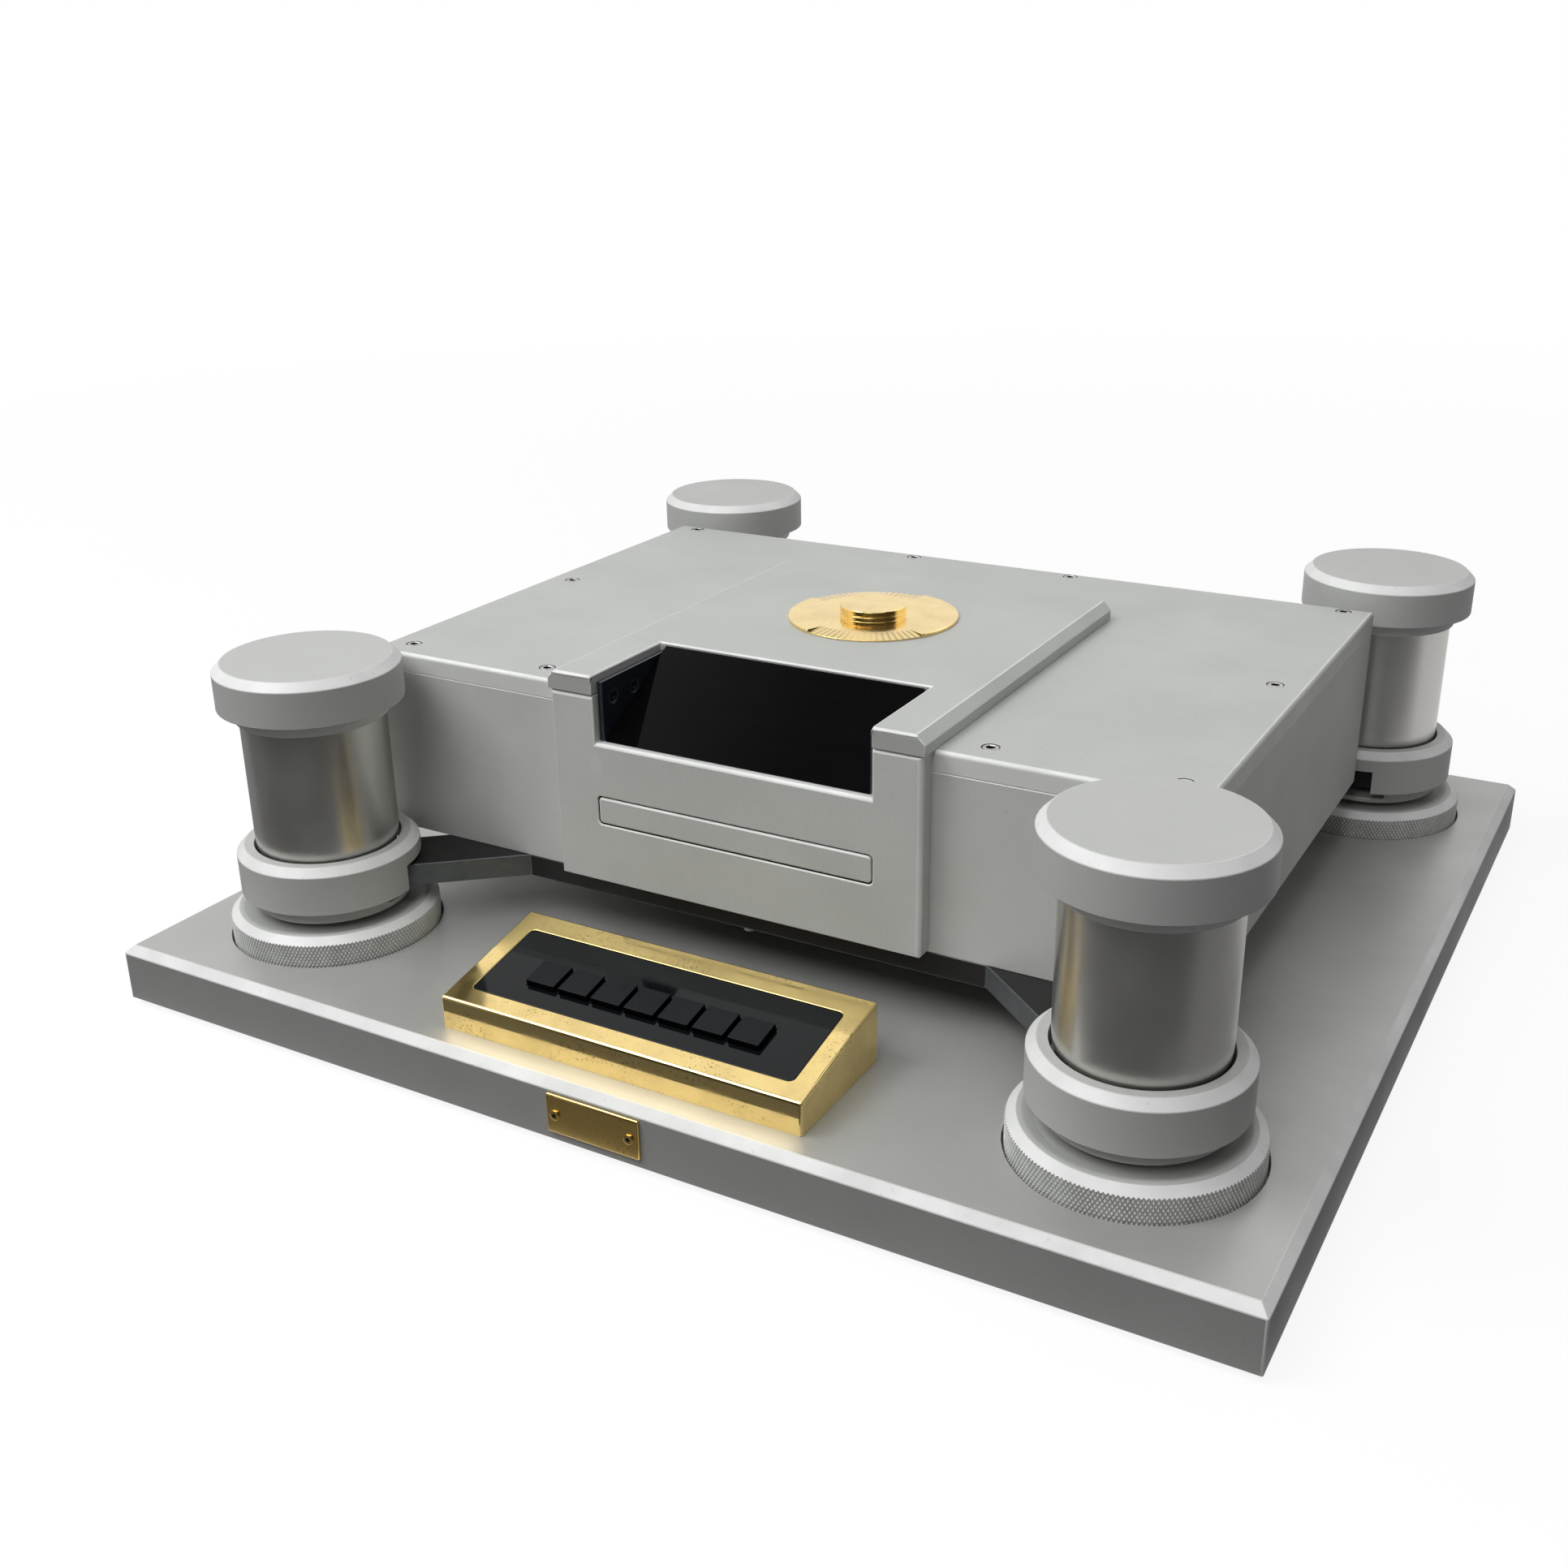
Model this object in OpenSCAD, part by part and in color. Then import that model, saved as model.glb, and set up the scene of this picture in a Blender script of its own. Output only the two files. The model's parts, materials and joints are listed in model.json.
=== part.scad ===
// Disc player with a chassis suspended from four columns on a heavy plinth.
// Millimetres. +Z is up, +X is the right side seen from the front, -Y is the front.
// The origin is on the surface that the player stands on, under the plinth's centre.

/* [Plinth] */
// Width of the plinth
plinth_w = 600; // [560:1:640]
// Depth of the plinth
plinth_d = 570; // [540:1:600]
// Thickness of the plinth
plinth_t = 30; // [26:0.5:36]
// Chamfer round the plinth's top edge
plinth_chamfer = 4.2; // [2:0.1:6]
// Height of the feet under the plinth
foot_h = 4; // [2:0.5:10]
// Radius of the feet
foot_r = 22; // [12:0.5:30]

/* [Levelling rings] */
// Distance of the columns from the centre, sideways
column_x = 222; // [216:1:236]
// Distance of the columns from the centre, front to back
column_y = 207.5; // [202:0.5:216]
// Radius of a knurled ring
ring_r = 54.3; // [50:0.1:56]
// Height of the knurled rim above the plinth
ring_rim_h = 11; // [8:0.5:12]
// Width of the chamfer on a ring's top
ring_chamfer_w = 5; // [3:0.5:8]
// Height of the chamfer on a ring's top
ring_chamfer_h = 4; // [2:0.5:4]
// Depth of the round wells in the plinth
well_depth = 8; // [4:0.5:10]
// Gap round a ring in its well
well_gap = 1; // [0.5:0.1:2]
// Radius of the stem that a ring turns on
stem_r = 16; // [12:0.5:20]

/* [Columns] */
// Radius of the neck under a collar
neck_r = 40.2; // [39:0.1:44]
// Height of the neck
neck_h = 8.4; // [8:0.1:10]
// Gap between a ring's top and the neck
neck_gap = 1.6; // [1.2:0.1:3]
// Radius of a collar
collar_r = 47; // [44:0.5:50]
// Height of a collar
collar_h = 25; // [20:0.5:30]
// Chamfer on the top of the collars and caps
turned_chamfer = 4.2; // [2:0.1:5]
// Outer radius of a tube
tube_r = 36.8; // [35:0.1:38]
// Wall of a tube
tube_wall = 3; // [2:0.5:4]
// Gap between a tube and the hole of its collar
collar_gap = 1; // [0.6:0.1:1.5]
// Radius of a cap
cap_r = 47; // [44:0.5:52]
// Height of a cap
cap_h = 23; // [18:0.5:30]
// Height of the caps' underside above the plinth
cap_z = 125.5; // [115:0.5:140]

/* [Suspension] */
// Thickness of the subframe plate
subframe_t = 12; // [10:0.5:13]
// Width of the subframe's middle
subframe_w = 264; // [256:1:272]
// Width of the subframe's arms
arm_w = 36; // [28:1:40]
// Height of the subframe's underside above the plinth
subframe_z = 24.2; // [24.2:0.1:26]
// How far the chassis can sink on its springs
sink_travel = 3; // [1:0.1:3]
// How far the chassis can rise on its springs
rise_travel = 1.2; // [0.5:0.1:1.2]
// How far a ring can lift or lower its column
lift_travel = 0.75; // [0.3:0.05:0.75]
// Turns of a column's spring
spring_turns = 6; // [4:1:8]

/* [Chassis] */
// Width of the chassis
chassis_w = 454; // [440:1:460]
// Distance from the plinth's centre to the chassis's front face
chassis_front = 154.6; // [150:0.2:158]
// Distance from the plinth's centre to the chassis's rear face
chassis_rear = 150.4; // [140:0.2:158]
// Height of the chassis without its lid
chassis_h = 90.6; // [86:0.2:100]
// Wall of the chassis
wall = 8; // [6:0.5:10]
// Floor of the chassis
floor_t = 4; // [3:0.5:6]
// Thickness of the lid
lid_t = 10.3; // [8:0.1:12]
// Rounding of the lid's edges
lid_round = 2.4; // [1:0.1:3]

/* [Bridge and fascia] */
// Width of the raised bridge plate
bridge_w = 206; // [200:1:216]
// Thickness of the bridge plate
bridge_t = 10.2; // [8:0.1:12]
// Distance from the plinth's centre to the bridge's front edge
bridge_front = 166.2; // [165.5:0.1:168]
// Distance from the plinth's centre to the bridge's rear edge
bridge_rear = 71; // [60:1:90]
// Chamfer along the bridge's sides
bridge_chamfer = 4.5; // [2:0.1:5]
// Width of the fascia
fascia_w = 203.2; // [198:0.2:206]
// Thickness of the fascia
fascia_t = 10.3; // [8:0.1:10.6]
// Height of the fascia's lower edge above the chassis underside
fascia_lift = 1; // [0.5:0.1:3]
// Width of the hood opening
hood_w = 153.4; // [150:0.2:156]
// Distance from the plinth's centre to the hood opening's rear edge
hood_rear = 103.2; // [98:0.2:110]
// Lower edge of the hood opening above the plinth
hood_z = 112.2; // [110:0.2:116]
// Thickness of the display glass
glass_t = 3; // [2:0.5:4]

/* [Tray] */
// Width of the tray door
door_w = 153.2; // [150:0.2:156]
// Height of the tray door
door_h = 14.4; // [13.6:0.1:15]
// Height of the tray door's centre above the plinth
door_z = 76.55; // [76.2:0.05:77]
// Gap round the tray door
door_gap = 0.4; // [0.3:0.05:0.6]
// Radius of the disc recess
disc_recess_r = 61; // [60.5:0.1:62]
// Distance of the spindle in front of the plinth's centre
spindle_front = 78; // [76:0.5:80]

/* [Medallion] */
// Radius of the medallion plate
medallion_r = 45.5; // [40:0.1:48]
// Thickness of the medallion plate
medallion_t = 1.8; // [1.6:0.1:3]
// Radius of the hub
hub_r = 17.8; // [14:0.1:22]
// Height of the hub
hub_h = 5.5; // [4:0.1:8]
// Distance of the medallion in front of the plinth's centre
medallion_front = 13.5; // [5:0.5:20]

/* [Control panel] */
// Width of the control panel
panel_w = 195; // [190:1:200]
// Distance from the plinth's centre to the control panel's front edge
panel_front = 269.3; // [266:0.1:274]
// Distance from the plinth's centre to the control panel's rear edge
panel_rear = 198.4; // [196:0.1:202]
// Height of the control panel's front edge above the plinth
panel_front_h = 16.3; // [15:0.1:18]
// Height of the control panel's rear edge above the plinth
panel_rear_h = 30.3; // [26:0.1:34]
// Number of keys
key_count = 7; // [5:1:8]
// Side of a square key
key_side = 16; // [14:0.1:16.4]
// Distance from key to key
key_pitch = 18.5; // [18:0.1:19.5]
// How far a key stands above the glass
key_proud = 3; // [2:0.1:4]
// Travel of a key
key_travel = 1.2; // [0.8:0.1:1.3]

/* [Nameplate] */
// Width of the nameplate
nameplate_w = 50; // [40:1:60]
// Height of the nameplate
nameplate_h = 20; // [16:0.5:22]
// Thickness of the nameplate
nameplate_t = 1.6; // [1:0.1:3]

/* [Hidden] */
$fn = 96;

// Shared clearances and overruns
cut = 1;              // overrun of every cut
fit = 0.06;           // radial clearance of a running fit
seat_gap = 0.3;       // clearance between a piece and its seat
slip = 0.2;           // radial clearance of a piece slipped over another
spare = 0.6;          // spare room past the end of a travel
face_gap = 0.1;       // gap between flat faces that slide or turn on each other

// Colours
blasted = [0.66, 0.67, 0.66];
brushed = [0.55, 0.55, 0.54];
gold = [0.85, 0.66, 0.30];
black = [0.05, 0.05, 0.06];
dark_steel = [0.22, 0.23, 0.24];
steel = [0.62, 0.62, 0.63];
rubber = [0.10, 0.10, 0.10];
board_green = [0.10, 0.28, 0.16];

// Levels of the stack
plinth_top = foot_h + plinth_t;
well_z = plinth_top - well_depth;
ring_top = plinth_top + ring_rim_h + ring_chamfer_h;
neck_z = ring_top + neck_gap;
collar_z = neck_z + neck_h;
collar_top = collar_z + collar_h;
arm_z = plinth_top + subframe_z;
arm_top = arm_z + subframe_t;
cap_under = plinth_top + cap_z;
chassis_top = arm_top + chassis_h;
lid_top = chassis_top + lid_t;
bridge_top = lid_top + bridge_t;
inner_floor = arm_top + floor_t;
front_y = -chassis_front;
spindle_y = -spindle_front;
door_mid = plinth_top + door_z;

// The four corners, in the order front left, front right, back left, back right
corner_signs = [[-1, -1], [1, -1], [-1, 1], [1, 1]];
function column_at(i) = [corner_signs[i][0] * column_x, corner_signs[i][1] * column_y];

// A direction from a column towards the middle, leaning this many degrees from the X axis
function inward(i, lean) = corner_signs[i][0] < 0 ? -corner_signs[i][1] * lean
    : 180 + corner_signs[i][1] * lean;

// A box between two corners
module block(low, high) translate(low) cube(high - low);

// An outline in Y and Z, pushed along X between two places
module along_x(x0, x1) translate([x0, 0, 0]) rotate([90, 0, 90]) linear_extrude(x1 - x0) children();

// An outline in X and Z, pushed along Y between two places
module along_y(y0, y1) translate([0, y1, 0]) rotate([90, 0, 0]) linear_extrude(y1 - y0) children();

// A plain ring with a square section
module ring_of(outer, inner, h) difference() {
    cylinder(r = outer, h = h);
    translate([0, 0, -cut]) cylinder(r = inner, h = h + 2 * cut);
}

// A rectangle with round corners, centred
module round_rect(w, h, r) {
    square([w - 2 * r, h], center = true);
    square([w, h - 2 * r], center = true);
    for (x = [-1, 1], y = [-1, 1]) translate([x * (w / 2 - r), y * (h / 2 - r)]) circle(r = r);
}

// Countersunk screw, its top at the origin: head with a hexagon socket, and a shank below it
hex_share = 0.5;        // a socket's radius against its head's
socket_share = 0.6;     // a socket's depth against its head's height

module socket_screw(r, t, len) difference() {
    union() {
        translate([0, 0, -t]) cylinder(r1 = r / 2, r2 = r, h = t);
        translate([0, 0, -len]) cylinder(r = r / 2, h = len - t);
    }
    translate([0, 0, -t * socket_share]) cylinder(r = r * hex_share, h = t + cut, $fn = 6);
}

// The hole that such a screw sits in
module screw_hole(r, t, len) rotate_extrude() polygon([
    [0, -len - seat_gap], [r / 2 + slip, -len - seat_gap], [r / 2 + slip, -t - slip],
    [r + slip, 0], [r + slip, cut], [0, cut]]);

// Plinth: a thick plate with a chamfered top edge, four wells and the bores for the stems
stem_floor = 8;         // plinth left under a stem
stem_end = foot_h + stem_floor;
bore_end = stem_end - lift_travel - spare;
plate_y = -plinth_d / 2;
plate_rise = 14.6;        // middle of the nameplate above the plinth's underside
plate_mid_z = foot_h + plate_rise;
plate_screw_x = 20;
plate_screw_r = 2.5;
plate_screw_h = 1;
plate_screw_len = 5;

module plinth_outline(half) polygon([
    [-half, foot_h], [half, foot_h], [half, plinth_top - plinth_chamfer],
    [half - plinth_chamfer, plinth_top], [plinth_chamfer - half, plinth_top],
    [-half, plinth_top - plinth_chamfer]]);

module plate_screw_holes() for (x = [-plate_screw_x, plate_screw_x])
    translate([x, plate_y - nameplate_t - cut, plate_mid_z]) rotate([-90, 0, 0])
        cylinder(r = plate_screw_r / 2 + slip, h = plate_screw_len + cut + seat_gap);

module plinth() color(blasted) difference() {
    intersection() {
        along_x(-plinth_w / 2, plinth_w / 2) plinth_outline(plinth_d / 2);
        along_y(-plinth_d / 2, plinth_d / 2) plinth_outline(plinth_w / 2);
    }
    for (i = [0:3]) translate(column_at(i)) {
        translate([0, 0, well_z]) cylinder(r = ring_r + well_gap, h = well_depth + cut);
        translate([0, 0, bore_end]) cylinder(r = stem_r + fit, h = plinth_t);
    }
    plate_screw_holes();
}

module feet() color(rubber) for (i = [0:3]) translate(column_at(i)) cylinder(r = foot_r, h = foot_h);

// Nameplate on the plinth's front edge, bare, and its two socket screws
module nameplate() color(gold) difference() {
    translate([0, 0, plate_mid_z]) along_y(plate_y - nameplate_t, plate_y)
        square([nameplate_w, nameplate_h], center = true);
    plate_screw_holes();
}

module nameplate_screws() color(steel) for (x = [-plate_screw_x, plate_screw_x])
    translate([x, plate_y - nameplate_t, plate_mid_z]) rotate([-90, 0, 0]) difference() {
        union() {
            translate([0, 0, -plate_screw_h]) cylinder(r = plate_screw_r, h = plate_screw_h);
            cylinder(r = plate_screw_r / 2, h = plate_screw_len);
        }
        translate([0, 0, -plate_screw_h - cut])
            cylinder(r = plate_screw_r * hex_share, h = plate_screw_h * socket_share + cut, $fn = 6);
    }

// Control panel: a wedge on the plinth. s runs up its slope and n stands square to it.
panel_angle = atan2(panel_rear_h - panel_front_h, panel_front - panel_rear);
slope_len = norm([panel_front - panel_rear, panel_rear_h - panel_front_h]);
panel_wall = 4;
panel_side_wall = 7;
panel_roof = 6;
window_side = 10.2;     // housing left beside the glass
window_near = 10.6;     // housing left below the glass
window_far = 12.6;      // housing left above the glass
window_round = 3;
window_ledge = 3;       // ledge that the glass lies on
glass_sink = 0.3;       // glass below the housing's face
key_mid_s = 31;         // middle of the keys up the slope
key_clearance = 0.25;   // gap round a key in the glass
key_flange = 0.9;       // flange past the key's side, under the glass
key_flange_t = 1.9;
switch_side = 6;
switch_h = 1;
board_t = 1.6;
board_side_gap = 4;     // board to the near and far sides of the opening
board_beside = 3;       // board past the outermost keys
board_post_r = 2.5;
board_post_inset = 6;
window_w = panel_w - 2 * window_side;
window_s = slope_len - window_near - window_far;
window_mid_s = window_near + window_s / 2;
glass_n = -glass_sink;
glass_under_n = glass_n - glass_t;
key_top_n = glass_n + key_proud;
key_under_n = glass_under_n - seat_gap - key_flange_t;
switch_top_n = key_under_n - key_travel - seat_gap;
board_top_n = switch_top_n - switch_h;
opening_w = window_w - 2 * window_ledge;
opening_s = window_s - 2 * window_ledge;

module on_panel() translate([0, -panel_front, plinth_top + panel_front_h]) rotate([panel_angle, 0, 0])
    children();
function key_x(k) = (k - (key_count + 1) / 2) * key_pitch;

module panel_housing() color(gold) difference() {
    along_x(-panel_w / 2, panel_w / 2) polygon([
        [-panel_front, plinth_top], [-panel_rear, plinth_top], [-panel_rear, plinth_top + panel_rear_h],
        [-panel_front, plinth_top + panel_front_h]]);
    along_x(panel_side_wall - panel_w / 2, panel_w / 2 - panel_side_wall) polygon([
        [panel_wall - panel_front, plinth_top - cut], [-panel_rear - panel_wall, plinth_top - cut],
        [-panel_rear - panel_wall, plinth_top + panel_rear_h - panel_wall * tan(panel_angle) - panel_roof],
        [panel_wall - panel_front, plinth_top + panel_front_h + panel_wall * tan(panel_angle) - panel_roof]]);
    on_panel() {
        translate([0, window_mid_s, glass_under_n]) linear_extrude(glass_t + glass_sink + cut)
            round_rect(window_w, window_s, window_round);
        translate([0, window_mid_s, -panel_front_h]) linear_extrude(panel_front_h)
            square([opening_w, opening_s], center = true);
    }
}

module panel_glass() color(black) on_panel() translate([0, 0, glass_under_n]) linear_extrude(glass_t)
    difference() {
        translate([0, window_mid_s]) round_rect(window_w - 2 * slip, window_s - 2 * slip, window_round);
        for (k = [1:key_count]) translate([key_x(k), key_mid_s])
            square(key_side + 2 * key_clearance, center = true);
    }

module key(k) color(black) on_panel() translate([key_x(k), key_mid_s, 0]) {
    translate([0, 0, key_under_n + key_flange_t / 2])
        linear_extrude(key_top_n - key_under_n - key_flange_t / 2)
        square(key_side, center = true);
    translate([0, 0, key_under_n]) linear_extrude(key_flange_t)
        square(key_side + 2 * key_flange, center = true);
}

// Switch board under the keys, on posts that stand on the plinth
board_w = (key_count - 1) * key_pitch + key_side + 2 * board_beside;
board_s = opening_s - 2 * board_side_gap;
board_post_at = [for (x = [-1, 1], s = [-1, 1])
    [x * (board_w / 2 - board_post_inset), window_mid_s + s * (board_s / 2 - board_post_inset)]];
function panel_y(s, n) = -panel_front + s * cos(panel_angle) - n * sin(panel_angle);
function panel_z(s, n) = plinth_top + panel_front_h + s * sin(panel_angle) + n * cos(panel_angle);

module key_board() color(board_green) {
    on_panel() {
        translate([0, window_mid_s, board_top_n - board_t]) linear_extrude(board_t)
            square([board_w, board_s], center = true);
        for (k = [1:key_count]) translate([key_x(k), key_mid_s, board_top_n - board_t / 2])
            linear_extrude(switch_h + board_t / 2) square(switch_side, center = true);
    }
    for (p = board_post_at) translate([p[0], panel_y(p[1], board_top_n), plinth_top])
        cylinder(r = board_post_r, h = panel_z(p[1], board_top_n - board_t / 2) - plinth_top);
}

// Levelling ring: knurled rim, chamfer, shallow dish and the threaded bore that the stem runs in
dish_depth = 1.6;
dish_r = neck_r + 2 * well_gap;

module levelling_ring(i) color(blasted) translate(column_at(i)) rotate_extrude() polygon([
    [stem_r + fit, well_z + face_gap], [ring_r, well_z + face_gap], [ring_r, plinth_top + ring_rim_h],
    [ring_r - ring_chamfer_w, ring_top], [dish_r + ring_chamfer_w, ring_top],
    [dish_r, ring_top - dish_depth], [stem_r + fit, ring_top - dish_depth]]);

// Column foot: stem, cup-shaped neck, post and spring seat, turned as one profile
post_r = 10;
seat_r = 24;
seat_t = 3;
seat_rise = 31.6;       // height of the spring seat above the neck's rim
guide_r = 6;
guide_h = 30;
neck_edge = 1;
neck_rim_r = tube_r + collar_gap;
neck_floor = arm_z - sink_travel - lift_travel - spare;
seat_z = collar_z + seat_rise;

module column_foot(i) color(blasted) difference() {
    translate(column_at(i)) rotate_extrude() polygon([
        [0, stem_end], [stem_r, stem_end], [stem_r, neck_z], [neck_r - neck_edge, neck_z],
        [neck_r, neck_z + neck_edge], [neck_r, collar_z], [neck_rim_r, collar_z], [neck_rim_r, neck_floor],
        [post_r, neck_floor], [post_r, seat_z - seat_t], [seat_r, seat_z - seat_t], [seat_r, seat_z],
        [guide_r, seat_z], [guide_r, seat_z + guide_h], [0, seat_z + guide_h]]);
    arm_notch(i, neck_floor, collar_z + cut);
}

// Room for an arm and for the ring at its end, between two heights
hanger_inset = 1.8;     // hanger inside the tube's outer face
hanger_r = tube_r - hanger_inset;
arm_lean = 40;          // degrees between an arm and the X axis
notch_lean = 57;        // degrees between the middle of a notch and the X axis

module arm_notch(i, z0, z1) translate(column_at(i)) rotate(inward(i, notch_lean))
    block([post_r + spare, -hanger_r, z0], [collar_r + cut, hanger_r, z1]);

// Collar: chamfered ring with a hole round the tube and a notch for the arm, open at the bottom
notch_rise = 0.45;      // room above an arm at the ends of both travels
notch_top = arm_top + rise_travel + lift_travel + notch_rise;

module collar(i) color(blasted) difference() {
    translate(column_at(i)) rotate_extrude() polygon([
        [neck_rim_r, collar_z], [collar_r, collar_z], [collar_r, collar_top - turned_chamfer],
        [collar_r - turned_chamfer, collar_top], [neck_rim_r, collar_top]]);
    arm_notch(i, collar_z - cut, notch_top);
}

// Hanger: stands on the end of an arm, goes round the spring seat and carries the tube
tube_drop = 1.4;        // lower edge of a tube below its collar's top
tube_z = collar_top - tube_drop;
tube_in_r = tube_r - tube_wall;
hanger_bore_r = seat_r + 2 * collar_gap;
hanger_grip = 16;       // length of the hanger inside the tube
hanger_sole = 12;
arm_bore_r = post_r + 3 * collar_gap;

module hangers() color(steel) for (i = [0:3]) translate(column_at(i)) rotate_extrude() polygon([
    [arm_bore_r, arm_top], [hanger_r, arm_top], [hanger_r, tube_z - seat_gap],
    [tube_in_r - slip, tube_z - seat_gap], [tube_in_r - slip, tube_z + hanger_grip],
    [hanger_bore_r, tube_z + hanger_grip], [hanger_bore_r, arm_top + hanger_sole],
    [arm_bore_r, arm_top + hanger_sole]]);

// Tube: brushed, with a rounded lower edge
cap_step_t = 1.5;
cap_step_r = 38.6;
tube_top = cap_under - cap_step_t;
tube_edge = 0.5;        // flat left on a tube's lower edge
tube_round = tube_wall - tube_edge;

module tubes() color(brushed) for (i = [0:3]) translate(column_at(i)) {
    translate([0, 0, tube_z + tube_round]) ring_of(tube_r, tube_in_r, tube_top - tube_z - tube_round);
    rotate_extrude() intersection() {
        translate([tube_in_r, tube_z]) square([tube_wall, tube_round]);
        union() {
            translate([tube_in_r, tube_z]) square([tube_edge, tube_round]);
            translate([tube_r - tube_round, tube_z + tube_round]) circle(r = tube_round);
        }
    }
}

// Cap: chamfered head, a small step and a spigot that sits in the tube and takes the spring
cap_spigot = 10;
cap_top = cap_under + cap_h;

module caps() color(blasted) for (i = [0:3]) translate(column_at(i)) rotate_extrude() polygon([
    [0, tube_top - cap_spigot], [tube_in_r - slip, tube_top - cap_spigot], [tube_in_r - slip, tube_top],
    [cap_step_r, tube_top], [cap_step_r, cap_under], [cap_r, cap_under],
    [cap_r, cap_top - turned_chamfer], [cap_r - turned_chamfer, cap_top], [0, cap_top]]);

// Spring: one unbroken coil of six-sided wire from the seat to the cap
wire_r = 2.2;
coil_r = 17;
coil_sides = 6;
coil_rings = 8;
coil_z0 = seat_z + seat_gap + wire_r;
coil_z1 = tube_top - cap_spigot - seat_gap - wire_r;
coil_steps = spring_turns * coil_rings;
function coil_mid(k) = [coil_r * cos(360 * k / coil_rings), coil_r * sin(360 * k / coil_rings),
    coil_z0 + (coil_z1 - coil_z0) * k / coil_steps];
function coil_point(k, j) = let (a = 360 * k / coil_rings, b = 360 * j / coil_sides)
    coil_mid(k) + wire_r * [cos(b) * cos(a), cos(b) * sin(a), sin(b)];
coil_gap = min([for (k = [0:coil_steps - coil_rings]) norm(coil_mid(k + coil_rings) - coil_mid(k))])
    - 2 * wire_r;
echo(least_gap_between_the_turns_of_a_spring = coil_gap);

module column_spring(i) color(steel) translate(column_at(i)) polyhedron(
    points = [for (k = [0:coil_steps], j = [0:coil_sides - 1]) coil_point(k, j)],
    faces = concat(
        [[for (j = [0:coil_sides - 1]) j]],
        [for (k = [0:coil_steps - 1], j = [0:coil_sides - 1], half = [0, 1])
            let (a = k * coil_sides + j, b = k * coil_sides + (j + 1) % coil_sides)
            half == 0 ? [a, b + coil_sides, b] : [a, a + coil_sides, b + coil_sides]],
        [[for (j = [coil_sides - 1:-1:0]) coil_steps * coil_sides + j]]));

// Subframe: dark plate under the chassis with four diagonal arms and a small stud
stud_r = 3;
stud_h = 4;
stud_inset = 7;
arm_len = (column_x - subframe_w / 2 + arm_w / 2) / cos(arm_lean);

module subframe() color(dark_steel) {
    translate([0, 0, arm_z]) linear_extrude(subframe_t) difference() {
        union() {
            translate([-subframe_w / 2, -chassis_front])
                square([subframe_w, chassis_front + chassis_rear]);
            for (i = [0:3]) translate(column_at(i)) {
                circle(r = hanger_r);
                rotate(inward(i, arm_lean)) translate([0, -arm_w / 2]) square([arm_len, arm_w]);
            }
        }
        for (i = [0:3]) translate(column_at(i)) circle(r = arm_bore_r);
    }
    translate([0, front_y + stud_inset, arm_z - stud_h]) cylinder(r = stud_r, h = stud_h + cut);
}

// Hood: the opening through bridge, lid, fascia and the tub's front wall
hood_floor = plinth_top + hood_z;
module hood_cut(z0) block([-hood_w / 2, -bridge_front - cut, z0],
    [hood_w / 2, -hood_rear, bridge_top + cut]);

// Tray slot through the fascia and the front wall
slot_w = door_w + 2 * door_gap;
slot_h = door_h + 2 * door_gap;
door_round = 2;
module slot_cut(y0, y1) translate([0, 0, door_mid]) along_y(y0, y1)
    round_rect(slot_w, slot_h, door_round + door_gap);

// Chassis tub: four walls, a floor, posts for the lid's screws and a stepped window in the rear wall
rear_y = chassis_rear;
half_w = chassis_w / 2;
window_inset = 20;      // rear window to the tub's sides
window_sill = 12;       // wall left above and below the rear window
window_rim = 8;         // narrower inner part of the rear window
rear_panel_t = 3;
rear_panel_sink = 2;
lid_post_r = 8;
lid_screw_r = 4.3;
lid_screw_t = 2.6;
lid_screw_len = 18;
lid_screw_x = 211.7;
lid_screw_front_x = 123;
lid_screw_rear_x = 51.6;
lid_screw_inset = 15.3;         // front screws to the chassis's front face
lid_screw_rear_inset = 6.4;     // rear screws to the chassis's rear face
lid_screw_mid_y = 3.4;
lid_screw_front_y = front_y + lid_screw_inset;
lid_screw_rear_y = rear_y - lid_screw_rear_inset;
lid_screws_at = concat(
    [for (x = [-1, 1], y = [lid_screw_front_y, lid_screw_mid_y, lid_screw_rear_y]) [x * lid_screw_x, y]],
    [for (x = [-1, 1]) [x * lid_screw_front_x, lid_screw_front_y]],
    [for (x = [-1, 1]) [x * lid_screw_rear_x, lid_screw_rear_y]]);
lid_posts_at = [for (p = lid_screws_at) if (p[1] < lid_screw_rear_y) p];

module rear_window(inset, y0, y1, gap) block(
    [inset + gap - half_w, y0, arm_top + window_sill - window_inset + inset + gap],
    [half_w - inset - gap, y1, chassis_top - window_sill + window_inset - inset - gap]);

module lid_screw_holes() for (p = lid_screws_at) translate([p[0], p[1], lid_top])
    screw_hole(lid_screw_r, lid_screw_t, lid_screw_len);

module chassis_tub() color(blasted) difference() {
    union() {
        difference() {
            block([-half_w, front_y, arm_top], [half_w, rear_y, chassis_top]);
            block([wall - half_w, front_y + wall, inner_floor],
                [half_w - wall, rear_y - wall, chassis_top + cut]);
        }
        for (p = lid_posts_at) translate([p[0], p[1], arm_top])
            cylinder(r = lid_post_r, h = chassis_top - arm_top);
    }
    rear_window(window_inset, rear_y - rear_panel_sink - rear_panel_t, rear_y + cut, 0);
    rear_window(window_inset + window_rim, rear_y - wall - cut, rear_y, 0);
    hood_cut(hood_floor);
    slot_cut(front_y - cut, front_y + wall + cut);
    lid_screw_holes();
}

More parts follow.
